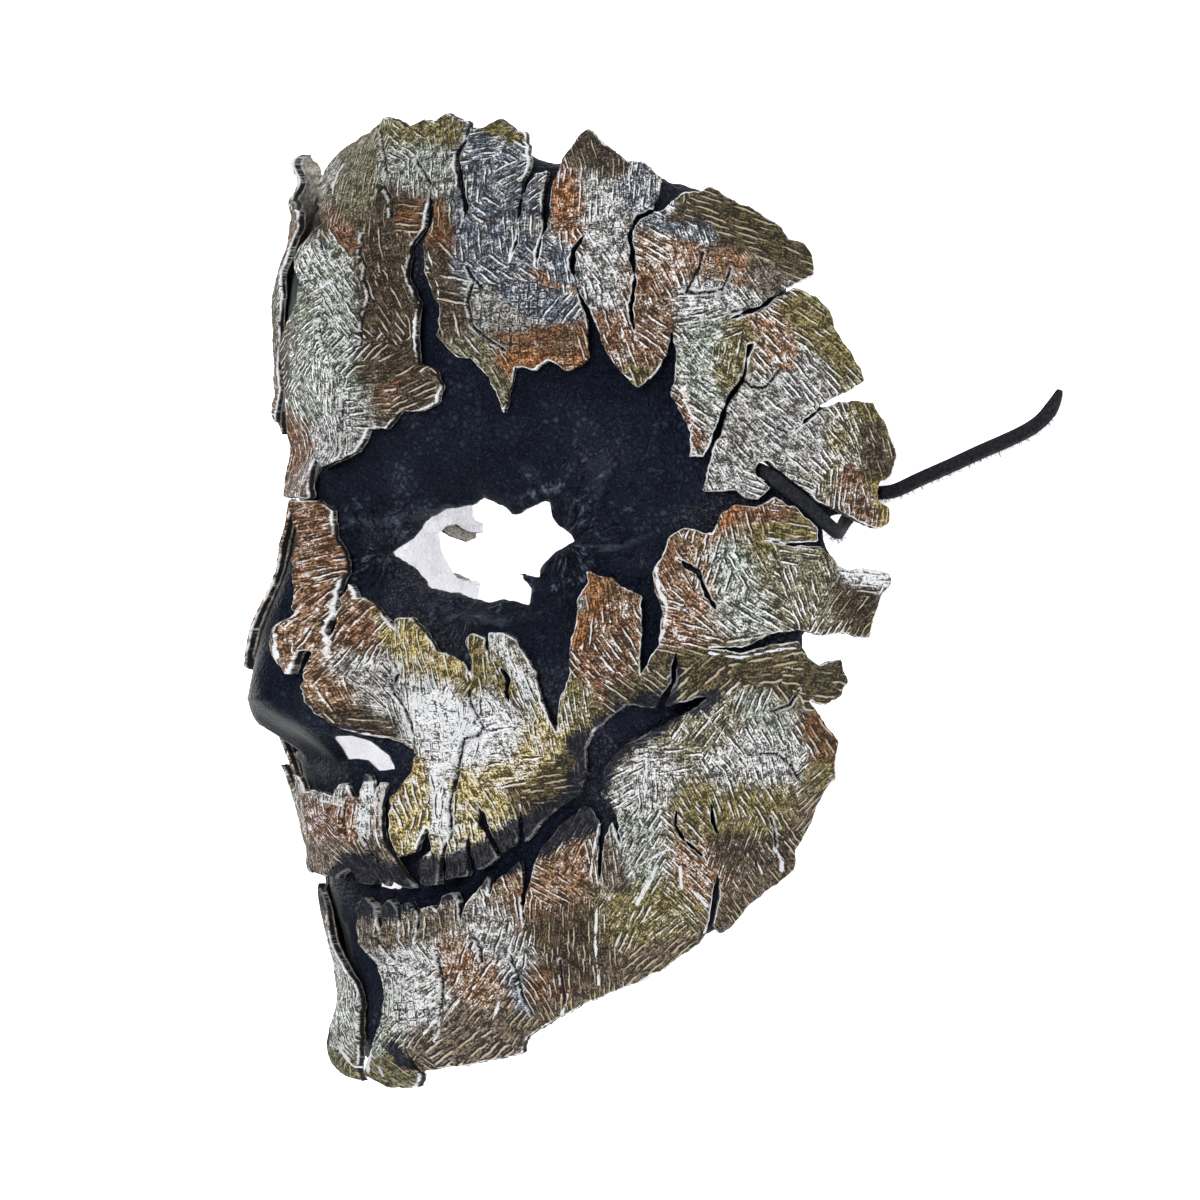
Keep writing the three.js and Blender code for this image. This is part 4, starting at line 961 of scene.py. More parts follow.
def rubbed_leather(name, tarnish, gilding):
    """Black leather with its tooling picked out by rubbed metal paints, and by painted highlights
    and shade along the strokes.
    """
    paint = Paint(name)
    leather = paint.flat_place("leather")
    along, across = paint.parts(paint.flat_place("tooling"))
    blotch = paint.noise(leather, 26, 4, 0.62)
    across = across + (blotch - 0.5) * 0.9
    # Strokes: a ridge beside a furrow in each lane, tapered at both ends, and a few missing.
    lane = (across + 0.5).floor()
    beside = across - lane
    run = along * 1.25 + paint.chance(lane) * 3
    cell = run.floor()
    span = run - cell
    taper = (span * (1 - span) * 4).step(0.1, 0.9)
    struck = paint.chance_at(cell, lane).step(0.12, 0.4)
    ridge = (1 - beside.size().step(0.02, 0.08 + 0.15 * taper)) * struck * taper
    furrow = (1 - (beside - 0.25).size().step(0.02, 0.08 + 0.12 * taper)) * struck * taper
    # Stamps: a square ridge inside a square furrow, uneven, and a few missing.
    u, v = (along.beyond_floor() - 0.5).size() * 2, (across.beyond_floor() - 0.5).size() * 2
    ring = u.larger(v) + (paint.chance_at(along.floor(), across.floor()) - 0.4) * 0.3
    stamped = paint.of("stamped")
    pressed = paint.chance_at(across.floor(), along.floor()).step(0.3, 0.45)
    square_ridge = (1 - (ring - 0.62).size().step(0.05, 0.2)) * stamped * pressed * 0.3
    square_furrow = (1 - (ring - 0.86).size().step(0.03, 0.14)) * stamped * pressed * 0.7
    ridge = ridge * (1 - stamped) + square_ridge
    furrow = furrow * (1 - stamped) + square_furrow
    # Tone: how much of the paint the cloth left, most on what stands up.
    lumps = paint.noise(leather, 55, 4, 0.68)
    grit = paint.noise(leather, 190, 2, 0.7)
    worm = 1 - ((paint.noise(leather, 105, 3, 0.6, 0.8) - 0.5).size() * 11).step(0, 1)
    drag = paint.noise(paint.stretched(paint.flat_place("tooling"), (1.5, 1.8, 1)), 2.2, 4, 0.65)
    press = paint.of("press")
    patina, silver = paint.of("patina", "Color"), paint.of("patina", "Alpha")
    rub = ((lumps - 0.5) * 2.0 + (grit - 0.5) * 2.0 + (drag - 0.5) * 2.2 + (blotch - 0.5) * 1.3
           + worm * 0.12)
    plain = 1 - silver.step(0.25, 0.5)
    # The strokes lighten the tone along each ridge as a painted highlight and darken it along the
    # furrow beside it as painted shade.
    tone = (0.22 + silver * 0.2 + (silver - 0.8).larger(0.0) * 1.2
            + rub * (0.85 + silver * 0.3) + (ridge * 1.15 - furrow * 0.8) * press)
    # The paints, from the bare leather up to the silver on the highest ridges.
    cloud = paint.noise(leather, 11, 3, 0.6)
    fleck = paint.noise(leather, 130, 2, 0.6)
    colour = paint.mix(blotch.step(0.48, 0.62) * 0.6, patina, tarnish)
    colour = paint.mix(cloud.step(0.5, 0.64) * 0.4, colour, gilding)
    colour = paint.mix(fleck.step(0.54, 0.62) * 0.45, colour, gilding)
    colour = paint.mix(fleck.step(0.44, 0.36) * 0.5, colour, tarnish)
    bright = paint.mix(silver * 0.12, colour, PALE_METAL)
    dark = paint.mix(0.92, colour, BARE_DARK)
    colour = paint.mix(tone.step(0.17, 0.61), dark, bright)
    # Cream paint on the stroke ridges and in specks on the brown paints; along the ridges it is also
    # a painted highlight.
    cream_and_highlight = ((ridge * press).step(0.12, 0.4) * 0.85).larger(grit.step(0.57, 0.7) * 0.32) * plain
    colour = paint.mix(cream_and_highlight, colour, CREAM_AND_RIDGE_HIGHLIGHT)
    # Painted highlight: a cool glint on the silvered stroke ridges.
    glint = (ridge * press).step(0.2, 0.6) * silver.step(0.35, 0.6)
    colour = paint.mix(glint * 0.6, colour, COOL_GLINT)
    # Silver paint on the highest places, which stands also as a painted highlight there.
    shine = (tone + silver * 0.45).step(0.88, 1.15) * silver.step(0.02, 0.5)
    colour = paint.mix(shine * 0.92, colour, BRIGHT_SILVER)
    # Painted shade along the furrow beside each stroke's ridge, over the bare dark leather in it.
    groove_shade = (furrow * press).step(0.14, 0.45) * (0.45 + silver * 0.45)
    colour = paint.mix(groove_shade, colour, BARE_FURROW_AND_SHADE)
    # What interrupts the paint: cracks, black paint and painted shade in hollows, torn edges, white
    # drops and the flesh side.
    crack = paint.of("crack") + (grit - 0.5) * 0.6 + (lumps - 0.5) * 0.3
    lip = (1 - (crack - 0.55).size().step(0.05, 0.24)) * blotch.step(0.44, 0.54)
    colour = paint.mix(lip * 0.8, colour, CRACK_LIP)
    colour = paint.mix(1 - crack.step(0.16, 0.44), colour, CRACK_DARK)
    # Black paint and painted shade: the darkened places turn to slate.
    dark_paint_and_shade = (paint.of("dark_paint_and_shade") * 1.7 - (grit - 0.5) * 2.0 - (drag - 0.5) * 2.0
             - (ridge * press) * 0.5).step(0.2, 1.3)
    slate = paint.mix(tone.step(0.2, 0.9), SLATE_DARK, SLATE_LIGHT)
    colour = paint.mix(dark_paint_and_shade * 0.97, colour, slate)
    edge, wall = paint.of("edge"), paint.of("wall")
    broken = paint.noise(leather, 12, 4, 0.65)
    width = 0.04 + 1.3 * (broken - 0.48).larger(0.0)
    rim = (1 - (edge + (grit - 0.5) * 0.8 - width).step(0, 0.18)) * broken.step(0.42, 0.54)
    torn = paint.mix(broken.step(0.52, 0.62) * grit.step(0.45, 0.6), WALL_DARK, WALL_PALE)
    colour = paint.mix(rim * (1 - dark_paint_and_shade * 0.8) * 0.9, colour, RIM_PALE)
    colour = paint.mix(wall, colour, torn)
    drop = 1 - (paint.of("drop") + (grit - 0.5) * 1.2 + (lumps - 0.5) * 1.4).step(0.6, 0.9)
    colour = paint.mix(drop * 0.9, colour, DROP_PAINT)
    back = paint.of("back")
    flesh = paint.mix((lumps + (grit - 0.5) * 0.8).step(0.35, 0.68), FLESH_DARK, FLESH_PALE)
    colour = paint.mix(back, colour, flesh)
    metal = (tone.step(0.3, 0.9) * 0.4 + shine * 0.2) * (1 - back) * (1 - drop) * (1 - wall)
    relief = tone + drop * 0.3 - (1 - crack.step(0.1, 0.5)) * 0.8
    return paint.finish(
        Base_Color=colour, Metallic=metal, Roughness=0.64 - 0.26 * tone.step(0.4, 0.9),
        Normal=paint.bump(relief, 0.8, 0.0006), Specular_IOR_Level=0.16)


forehead_tooling = Tooling(FOREHEAD_STROKES, FOREHEAD_STAMPS)
forehead = on_face(FOREHEAD_EDGE, SHEET_LIFT)
forehead_cracks = [on_face(crack_outline(line), SHEET_LIFT) for line in FOREHEAD_CRACKS]
groove = on_face(crack_outline(LACE_GROOVE), SHEET_LIFT)
forehead_left = outer_sheet(
    "forehead_left_leather", "forehead_sheet_left", 1,
    np.concatenate([forehead, FOREHEAD_SEAM]), forehead_cracks + [lace_hole, groove],
    low=(-28, 15), high=(148, 120), spacing=0.55, seed=20, tooling=forehead_tooling,
    paint=FOREHEAD_PAINT, fine_cracks=FOREHEAD_FINE_CRACKS, drips=FOREHEAD_DRIPS)
far_forehead = far_side(forehead)
far_forehead = far_forehead[far_forehead[:, 0] < FAR_FOREHEAD_END]
forehead_right = outer_sheet(
    "forehead_right_leather", "forehead_sheet_right", -1,
    np.concatenate([far_forehead, FAR_FOREHEAD_SEAM]), [far_side(lace_hole)],
    low=(-148, 15), high=(-6, 120), spacing=0.6, seed=40, tooling=forehead_tooling,
    paint=FOREHEAD_PAINT, fine_cracks=FOREHEAD_FINE_CRACKS[-4:], drips=FOREHEAD_DRIPS[1:2],
    curls=FAR_BROW_CURLS)
pewter = rubbed_leather("pewter_leather", (0.06, 0.04, 0.022), (0.16, 0.12, 0.05))
for piece in (forehead_left, forehead_right):
    piece.data.materials.append(pewter)

# The cheek sheets: from the side of the nose over cheek, jaw and chin, with the lower teeth cut
# along the mouth and an ear strip that runs back from the cheekbone.
CHEEK_EDGE = [
    (303, 501), (316, 500), (329, 511), (332, 536), (342, 552), (347, 573), (340, 590),
    (336, 612), (330, 632), (330, 655), (337, 628), (343, 602), (350, 582), (358, 598),
    (374, 602), (380, 613), (396, 631), (393, 618), (412, 618), (423, 629), (436, 652),
    (452, 655), (464, 665), (472, 678), (470, 660), (463, 640), (469, 633), (482, 639),
    (489, 662), (487, 632), (500, 631), (516, 640), (530, 665), (536, 676), (540, 700),
    (558, 738), (559, 704), (568, 678), (570, 652), (576, 622), (577, 600), (587, 582),
    (586, 570), (602, 577), (613, 578), (622, 588), (641, 596), (641, 640), (640, 678),
    (648, 660), (659, 643), (662, 612), (655, 592), (653, 574), (661, 556), (670, 536),
    (683, 528), (713, 534), (722, 514), (737, 503), (757, 508), (775, 497), (798, 509),
    (818, 529), (819, 542), (788, 543), (764, 539), (790, 546), (821, 547), (836, 564),
    (850, 572), (862, 568), (882, 573), (885, 583), (876, 592), (871, 614), (868, 639),
    (844, 633), (822, 636), (800, 629), (772, 634), (742, 647), (709, 648), (742, 653),
    (776, 644), (798, 642), (808, 656), (821, 664), (842, 661), (848, 682), (841, 696),
    (826, 704), (810, 701), (834, 741), (831, 764), (835, 779), (824, 794), (813, 821),
    (793, 850), (792, 870), (775, 886), (745, 908), (731, 926), (719, 935), (713, 925),
    (720, 900), (718, 870), (712, 898), (708, 928), (700, 944), (673, 963), (642, 981),
    (597, 998), (558, 1018), (524, 1040), (523, 1053), (483, 1062), (424, 1071), (404, 1041),
    (412, 1065), (424, 1074), (421, 1087),
]
CHIN_EDGE = [
    (399, 1088), (385, 1085), (370, 1074), (371, 1052), (378, 1024), (381, 990), (372, 962),
    (356, 942), (355, 906),
]
MOUTH_EDGE = [
    (366, 898), (375, 904), (380, 938), (383, 906), (390, 899), (396, 908), (399, 938),
    (403, 905), (412, 902), (418, 912), (419, 944), (424, 908), (436, 905), (442, 912),
    (447, 895), (458, 890), (463, 900), (465, 925), (470, 905), (489, 876), (490, 895),
    (497, 880), (520, 862), (521, 880), (519, 905), (523, 928), (526, 890), (533, 866),
    (541, 848), (560, 824), (581, 808), (590, 806), (599, 822), (597, 860), (599, 884),
    (603, 858), (605, 835), (612, 822), (621, 848), (617, 815), (600, 794), (604, 770),
    (618, 750), (640, 738), (668, 722), (696, 707), (713, 693), (695, 699), (665, 706),
    (675, 682), (679, 645), (673, 658), (670, 682), (655, 706), (625, 706), (597, 728),
    (584, 748), (587, 775), (580, 794), (560, 806), (535, 828), (523, 845), (518, 800),
    (513, 845), (501, 852), (491, 838), (477, 805), (476, 825), (496, 858), (478, 872),
    (470, 852), (466, 830), (464, 852), (469, 876), (449, 880), (445, 858), (448, 832),
    (440, 853), (442, 884), (427, 884), (424, 860), (434, 850), (428, 825), (419, 850),
    (405, 858), (395, 836), (397, 800), (411, 772), (413, 749), (386, 738),
]
NOSE_EDGE = [
    (358, 735), (328, 723), (317, 713), (313, 695), (312, 673), (316, 651), (307, 651),
    (297, 677),
]
BRIDGE_SEAM = [
    (4.8, -15), (3.6, -11), (2.9, -6), (4.2, -4), (3.4, 2), (1.8, 10), (1.4, 16), (0.4, 20),
    (-0.8, 24),
]
# The far sheet has a chin and a nose edge of its own, in degrees and height.
FAR_CHIN_EDGE = [
    (-6, -72.5), (-5, -78), (-3.5, -83), (-0.8, -88), (1.6, -93), (2.4, -99), (2.2, -104),
    (1.2, -108.5), (-0.6, -112), (-2, -114.5), (-3, -118),
]
FAR_NOSE_EDGE = [
    (-2.6, 18), (-2.6, 8), (-2.8, -4), (-4, -12), (-6, -16.5), (-12, -18), (-14.5, -22),
    (-14.5, -28),
]
CHEEK_CRACKS = [
    [(413, 758, 4), (411, 725, 3), (403, 706, 3), (394, 692, 3), (394, 678, 2), (400, 664, 1)],
    [(676, 558, 1), (688, 567, 5), (698, 572, 4), (705, 590, 5), (716, 609, 3), (727, 605, 1)],
    [(500, 668, 1), (508, 680, 6), (506, 692, 5), (512, 710, 1)],
    [(676, 812, 1), (675, 826, 4), (684, 840, 4), (703, 856, 1)],
    [(710, 802, 2), (713, 820, 5), (719, 838, 1)],
]
CHEEK_STROKES = [
    (305, 530, -15, 1.5), (318, 565, -12, 1.5), (305, 600, -38, 1.4), (322, 640, -60, 1.3),
    (295, 655, 80, 1.2), (368, 622, -42, 1.6), (350, 660, -55, 1.2), (320, 700, 60, 1.1),
    (378, 690, 45, 1.1), (365, 725, 5, 1.2), (402, 700, 80, 1.2), (415, 640, 88, 1.1),
    (440, 665, 75, 1.2), (455, 690, -60, 1.4), (478, 665, 84, 1.3), (505, 660, 70, 1.3),
    (524, 690, 66, 1.3), (500, 700, 62, 1.4), (475, 705, 90, 1.3), (472, 745, 110, 1.2),
    (505, 738, -12, 1.7), (500, 772, -8, 1.7), (535, 765, -8, 1.5), (428, 785, 76, 1.4),
    (450, 800, 95, 1.3), (482, 800, 62, 1.4), (508, 815, 70, 1.4), (548, 745, 80, 1.1),
    (580, 700, 80, 1.1), (585, 630, 98, 1.4), (600, 665, 50, 1.4), (622, 640, 58, 1.4),
    (610, 695, 35, 1.3), (600, 595, 82, 1.4), (675, 560, 60, 1.3), (700, 535, 102, 1.4),
    (742, 522, 75, 1.4), (722, 575, 108, 1.5), (755, 565, 62, 1.5), (795, 530, 8, 1.3),
    (770, 600, 32, 1.5), (705, 610, 40, 1.4), (690, 632, 15, 1.4), (810, 590, 70, 1.4),
    (840, 605, -58, 1.4), (866, 605, -62, 1.3), (860, 580, 5, 1.3), (718, 682, -42, 1.7),
    (760, 668, -10, 1.8), (820, 680, 8, 1.8), (745, 705, -68, 1.5), (772, 725, 60, 1.5),
    (705, 735, -55, 1.5), (730, 750, 50, 1.5), (765, 765, 75, 1.5), (672, 758, -8, 1.6),
    (620, 782, -30, 1.5), (650, 790, 88, 1.4), (690, 790, 60, 1.5), (640, 820, -60, 1.6),
    (725, 790, 72, 1.5), (765, 800, 58, 1.5), (818, 730, 60, 1.4), (820, 778, -45, 1.4),
    (690, 835, 45, 1.5), (735, 845, -70, 1.5), (770, 880, 60, 1.4), (645, 860, -58, 1.5),
    (690, 885, 45, 1.5), (625, 915, -60, 1.6), (660, 940, -40, 1.6), (565, 850, -60, 1.6),
    (560, 885, 30, 1.4), (545, 930, 90, 1.3), (585, 930, 88, 1.4), (510, 905, 80, 1.4),
    (505, 945, -75, 1.4), (535, 975, 55, 1.4), (565, 975, 86, 1.4), (470, 960, -72, 1.4),
    (492, 975, -55, 1.4), (460, 1010, -50, 1.5), (500, 1018, -52, 1.5), (475, 1045, -40, 1.6),
    (418, 985, -34, 1.6), (422, 955, 60, 1.4), (385, 985, 84, 1.2), (385, 1040, -55, 1.3),
    (400, 1070, 35, 1.4), (372, 925, 90, 1.3), (422, 925, 92, 1.3), (455, 915, 90, 1.3),
    (470, 860, 80, 1.3), (500, 885, 70, 1.4), (610, 860, 80, 1.4),
]
CHEEK_STAMPS = [
    (440, 722, 2, 2.2), (452, 752, 4, 2.2), (520, 745, -10, 2.1), (415, 1000, -6, 2.2),
    (395, 965, 4, 2.2),
]
CHEEK_PAINT = [
    (RUST, 0.5, 13, [(306, 515), (310, 560)]), (COPPER, 0.5, 14, [(308, 590), (320, 640)]),
    (TAUPE, 0.3, 9, [(282, 650), (290, 665)]), (RUST, 0.45, 13, [(352, 612), (376, 640)]),
    (PEWTER, 0.7, 16, [(372, 668), (398, 692)]), (COPPER, 0.55, 13, [(325, 680), (345, 700)]),
    (BROWN, 0.25, 12, [(330, 715), (385, 728)]), (GOLD, 0.5, 11, [(405, 632), (428, 655)]),
    (GOLD, 0.5, 13, [(450, 668), (470, 655)]), (OLIVE_GOLD, 0.3, 9, [(475, 640), (480, 680)]),
    (WHITE, 0.95, 20, [(438, 708), (472, 742)]), (WHITE, 0.85, 14, [(500, 715), (515, 748)]),
    (PEWTER, 0.9, 6, [(498, 640), (516, 665), (530, 690)]),
    (OLIVE_GOLD, 0.4, 8, [(508, 662), (514, 690)]),
    (GOLD, 0.7, 15, [(515, 770), (552, 735)]), (GOLD, 0.6, 13, [(420, 775), (425, 825)]),
    (COPPER, 0.5, 9, [(418, 772), (418, 800)]), (GOLD, 0.65, 14, [(470, 785), (500, 812)]),
    (WHITE, 0.95, 7, [(452, 765), (446, 825)]), (OLIVE_GOLD, 0.5, 12, [(575, 690), (582, 720)]),
    (DARK_OLIVE, 0.1, 13, [(528, 800), (562, 782), (588, 745)]),
    (RUST, 0.5, 19, [(600, 620), (604, 672)]),
    (ORANGE, 0.3, 8, [(590, 580), (596, 600), (580, 640)]),
    (PEWTER, 0.3, 6, [(584, 604)]), (DARK_OLIVE, 0.25, 13, [(618, 702), (655, 688)]),
    (RUST, 0.4, 11, [(670, 545), (682, 570)]), (COPPER, 0.65, 12, [(702, 540), (696, 600)]),
    (ORANGE, 0.4, 8, [(735, 508), (702, 535)]), (RUST, 0.45, 10, [(745, 515), (780, 512)]),
    (OLIVE_GOLD, 0.3, 13, [(800, 528), (765, 540)]),
    (PALE_GREEN, 0.7, 18, [(722, 565), (742, 612)]),
    (DRY_OLIVE, 0.5, 19, [(780, 565), (802, 612)]), (BROWN, 0.25, 11, [(842, 600), (862, 615)]),
    (WHITE, 0.9, 7, [(850, 574), (880, 577)]), (COPPER, 0.65, 11, [(668, 620), (695, 635)]),
    (DARK_OLIVE, 0.12, 19, [(690, 668), (770, 668), (835, 682)]),
    (PALE_GREEN, 0.5, 14, [(742, 702), (772, 730)]), (PEWTER, 0.8, 18, [(770, 745), (722, 762)]),
    (PEWTER, 0.8, 14, [(662, 770), (650, 792)]), (DRY_OLIVE, 0.5, 18, [(720, 715), (690, 742)]),
    (RUST, 0.15, 11, [(812, 725), (825, 748)]), (OLIVE_GOLD, 0.35, 7, [(816, 775), (830, 768)]),
    (OLIVE_GOLD, 0.4, 18, [(700, 800), (760, 815)]), (BROWN, 0.35, 16, [(735, 850), (770, 850)]),
    (TAUPE, 0.12, 8, [(812, 805), (790, 855), (760, 890), (730, 915)]),
    (PALE_GREEN, 0.6, 15, [(630, 830), (640, 860)]), (TAUPE, 0.35, 12, [(612, 850), (620, 872)]),
    (COPPER, 0.5, 16, [(572, 860), (545, 895)]), (OLIVE_GOLD, 0.45, 18, [(640, 905), (680, 925)]),
    (BROWN, 0.25, 18, [(560, 930), (580, 965)]), (COPPER, 0.6, 12, [(690, 860), (700, 880)]),
    (TAUPE, 0.08, 9, [(722, 915), (680, 945), (630, 977), (570, 1003), (530, 1028)]),
    (PEWTER, 0.7, 12, [(500, 928), (522, 955)]), (STEEL, 0.5, 7, [(522, 975), (530, 1005)]),
    (PEWTER, 0.85, 16, [(418, 960), (425, 990)]), (WHITE, 0.9, 12, [(430, 1004)]),
    (PALE_GREEN, 0.7, 11, [(384, 1000), (388, 1040)]), (COPPER, 0.65, 14, [(472, 960), (492, 990)]),
    (RUST, 0.35, 11, [(545, 985), (560, 992)]), (TAUPE, 0.2, 18, [(450, 1038), (505, 1030)]),
    (DRY_OLIVE, 0.2, 11, [(388, 1068), (415, 1072)]),
    (TAUPE, 0.35, 8, [(368, 928), (410, 938), (450, 925)]),
]
# Where the leather is darkened, with black paint along the mouth and teeth and painted shade in
# hollows and under lifted edges: reach and middle line.
CHEEK_DARK_AND_SHADE = [
    (17, [(355, 902), (400, 900), (450, 890), (500, 862), (545, 840), (600, 810)]),
    (16, [(425, 874), (470, 862), (505, 842), (540, 824), (575, 800), (592, 770), (588, 745)]),
    (11, [(606, 780), (608, 760), (635, 738), (680, 710), (708, 697)]),
    (8, [(600, 722), (640, 702), (668, 698), (676, 670)]),
    # These two are painted shade: a hollow by the chin, and the dent under the nose wing.
    (9, [(408, 1045), (420, 1062)]), (7, [(330, 728), (372, 735)]),
]
CHEEK_FINE_CRACKS = [
    [(383, 674), (392, 690), (401, 664)], [(437, 955), (442, 975), (441, 1005), (440, 1035)],
    [(760, 754), (778, 754), (790, 765), (800, 780)], [(771, 818), (775, 830), (776, 846)],
    [(476, 938), (481, 950), (482, 962)], [(376, 938), (384, 950), (395, 962)],
    [(560, 960), (562, 980), (565, 1000)], [(510, 955), (517, 975), (522, 998), (533, 1016)],
    [(470, 690), (472, 704), (484, 728), (478, 736), (465, 738), (460, 760), (455, 790)],
    [(455, 780), (449, 808), (450, 836)], [(384, 1068), (394, 1084)], [(357, 905), (340, 893)],
    [(800, 690), (790, 705), (770, 712)],
]
CHEEK_DRIPS = [
    (2.6, [(598, 905), (597, 945), (600, 985)]), (2.4, [(562, 1016), (569, 993)]),
    (4.2, [(637, 905), (642, 893), (650, 880), (656, 868)]),
    (3, [(719, 895), (711, 912), (704, 932)]),
    (3.8, [(774, 848), (780, 858), (781, 870)]), (3.4, [(495, 1019), (500, 1002)]),
    (4, [(372, 1052), (374, 1072)]), (2.2, [(461, 1000), (452, 1012), (443, 1026)]),
    (1.8, [(441, 1010), (440, 1045)]), (2.4, [(428, 1034), (438, 1020)]),
    (2, [(647, 748), (646, 792)]), (1.6, [(653, 748), (651, 790)]),
    (2, [(600, 824), (594, 850), (591, 876)]), (3.4, [(680, 868), (682, 888)]),
    (2.4, [(689, 888), (707, 906)]), (1.6, [(664, 842), (686, 862)]),
    (1.8, [(640, 820), (652, 845)]),
    (1.6, [(678, 905), (700, 922)]), (2, [(746, 850), (752, 868)]), (1.8, [(757, 862), (762, 874)]),
    (2.6, [(353, 574), (345, 590), (338, 615), (331, 640)]),
    (2.6, [(288, 548), (292, 575), (287, 615)]),
    (2.4, [(312, 602), (300, 618), (288, 628)]), (2.6, [(285, 634), (289, 664)]),
    (3, [(656, 568), (659, 590), (667, 606), (664, 630), (654, 650), (643, 666)]),
    (2.2, [(709, 653), (740, 658), (775, 650), (795, 648)]),
    (2, [(330, 727), (352, 731), (372, 735)]),
    (2, [(388, 742), (410, 749)]), (1.8, [(718, 870), (716, 895)]),
    (1.8, [(740, 715), (752, 735), (765, 742)]),
    (1.8, [(700, 710), (716, 728), (728, 738)]), (1.6, [(680, 725), (690, 735)]),
    (1.8, [(640, 865), (652, 858), (666, 850)]), (1.8, [(628, 925), (636, 910)]),
    (1.6, [(615, 950), (622, 932)]),
]
cheek = np.concatenate([on_face(CHEEK_EDGE + CHIN_EDGE + MOUTH_EDGE + NOSE_EDGE, SHEET_LIFT),
                        BRIDGE_SEAM])
cheek_cracks = [on_face(crack_outline(line), SHEET_LIFT) for line in CHEEK_CRACKS]
cheek_tooling = Tooling(CHEEK_STROKES, CHEEK_STAMPS)
cheek_left = outer_sheet(
    "cheek_left_leather", "cheek_sheet_left", 1, cheek, cheek_cracks + [groove],
    low=(-4, -130), high=(148, 26), spacing=0.6, seed=60, tooling=cheek_tooling,
    paint=CHEEK_PAINT, fine_cracks=CHEEK_FINE_CRACKS, drips=CHEEK_DRIPS, dark=CHEEK_DARK_AND_SHADE)
far_cheek = np.concatenate([
    far_side(on_face(MOUTH_EDGE, SHEET_LIFT)), FAR_CHIN_EDGE,
    far_side(on_face(CHEEK_EDGE, SHEET_LIFT)), FAR_NOSE_EDGE])
cheek_right = outer_sheet(
    "cheek_right_leather", "cheek_sheet_right", -1, far_cheek, [],
    low=(-148, -130), high=(6, 26), spacing=0.65, seed=80, tooling=cheek_tooling,
    paint=CHEEK_PAINT, fine_cracks=CHEEK_FINE_CRACKS[:3], drips=CHEEK_DRIPS[2:12],
    dark=CHEEK_DARK_AND_SHADE, curls=FAR_CHIN_CURLS)
bronze = rubbed_leather("bronze_leather", (0.08, 0.045, 0.02), (0.2, 0.15, 0.06))
for piece in (cheek_left, cheek_right):
    piece.data.materials.append(bronze)

# The upper lip: a band of outer leather under the nose, fringed above and cut into teeth below,
# rubbed with rust and silver, dark along the mouth with black paint and painted shade, and with
# painted shade under the nostril.
LIP_EDGE = [
    (318, 792), (330, 797), (336, 784), (345, 782), (350, 797), (358, 799), (362, 773), (368, 776),
    (371, 795), (378, 783), (386, 783), (380, 802), (382, 822), (390, 845), (401, 862), (415, 888),
    (402, 887), (392, 879), (386, 887), (379, 878), (373, 884), (361, 882), (352, 868), (338, 878),
]
LIP_STROKES = [
    (320, 802, 80, 1.2), (350, 812, 92, 1.2), (335, 838, 40, 1.3), (370, 805, 82, 1.1),
    (385, 855, 60, 1.2), (330, 860, 75, 1.2),
]
LIP_PAINT = [
    (PALE_GREEN, 0.5, 8, [(305, 800), (312, 812)]), (RUST, 0.6, 12, [(316, 805), (335, 832)]),
    (COPPER, 0.6, 11, [(350, 812), (364, 832)]), (PEWTER, 0.7, 7, [(325, 796), (345, 794)]),
    (WHITE, 0.9, 4, [(373, 782), (378, 832)]),
    (TAUPE, 0.3, 8, [(325, 852), (352, 848), (388, 850)]),
]
# Black paint and painted shade along the mouth, and painted shade under the nostril: reach and
# middle line.
LIP_DARK_AND_SHADE = [
    (17, [(368, 868), (408, 876)]), (9, [(345, 878), (356, 872)]), (8, [(345, 775), (372, 772)]),
]
LIP_FINE_CRACKS = [[(345, 810), (347, 835)], [(365, 838), (380, 862)]]
LIP_DRIPS = [
    (2, [(374, 780), (376, 805), (381, 832), (387, 848)]), (1.6, [(320, 800), (345, 806)]),
]
lip_left = on_face(LIP_EDGE, SHEET_LIFT)
lip = outer_sheet(
    "lip_leather", "lip_sheet", 1,
    np.concatenate([lip_left, far_side(lip_left)]), [],
    low=(-32, -84), high=(32, -40), spacing=0.4, seed=100, tooling=Tooling(LIP_STROKES, []),
    paint=LIP_PAINT, fine_cracks=LIP_FINE_CRACKS, drips=LIP_DRIPS, dark=LIP_DARK_AND_SHADE)
lip.data.materials.append(rubbed_leather("rust_leather", (0.1, 0.04, 0.02), (0.2, 0.12, 0.07)))

# The lace: a flat leather lace out of the temple hole. It lies in its groove, turns in under the
# rim and comes out below it, and its free end lies along the table with a curled, pointed tip.
LACE_WIDTH = 3.2
LACE_THICKNESS = 2.4
LACE_DEPTH, LACE_START_DEPTH = 2.0, -1.6
LACE_HEIGHT = 1.35
LACE_POINTS, LACE_EASINGS, LACE_SIDES = 120, 12, 16
LACE_TIP, LACE_CORNERS = 5.0, 0.6
# Suede fuzz: fibres to a square metre, their length in metres, and thickness as a share of that.
FUZZ_DENSITY, FUZZ_LENGTH, FUZZ_THICKNESS, FUZZ_SEED = 2.2e6, 0.0016, 0.03, 7
# Its route: on the face and on the table in the side drawing, and under the rim as points.
LACE_ON_FACE = [(768, 473), (778, 481), (789, 490), (800, 498), (812, 508)]
LACE_IN_RIM = [
    (93.1, 24.4, 17.3), (91.5, 22.7, 12.5), (88.5, 23.1, 9.7), (85.3, 25.2, 6.5),
    (84.9, 29.2, 3.6), (86.9, 31.9, 1.8), (90.2, 33.6, 1.4),
]
LACE_ON_FLOOR = [
    (889, 493), (920, 479), (950, 466), (980, 452), (1010, 439), (1035, 426), (1048, 414),
    (1056, 402), (1060, 390),
]


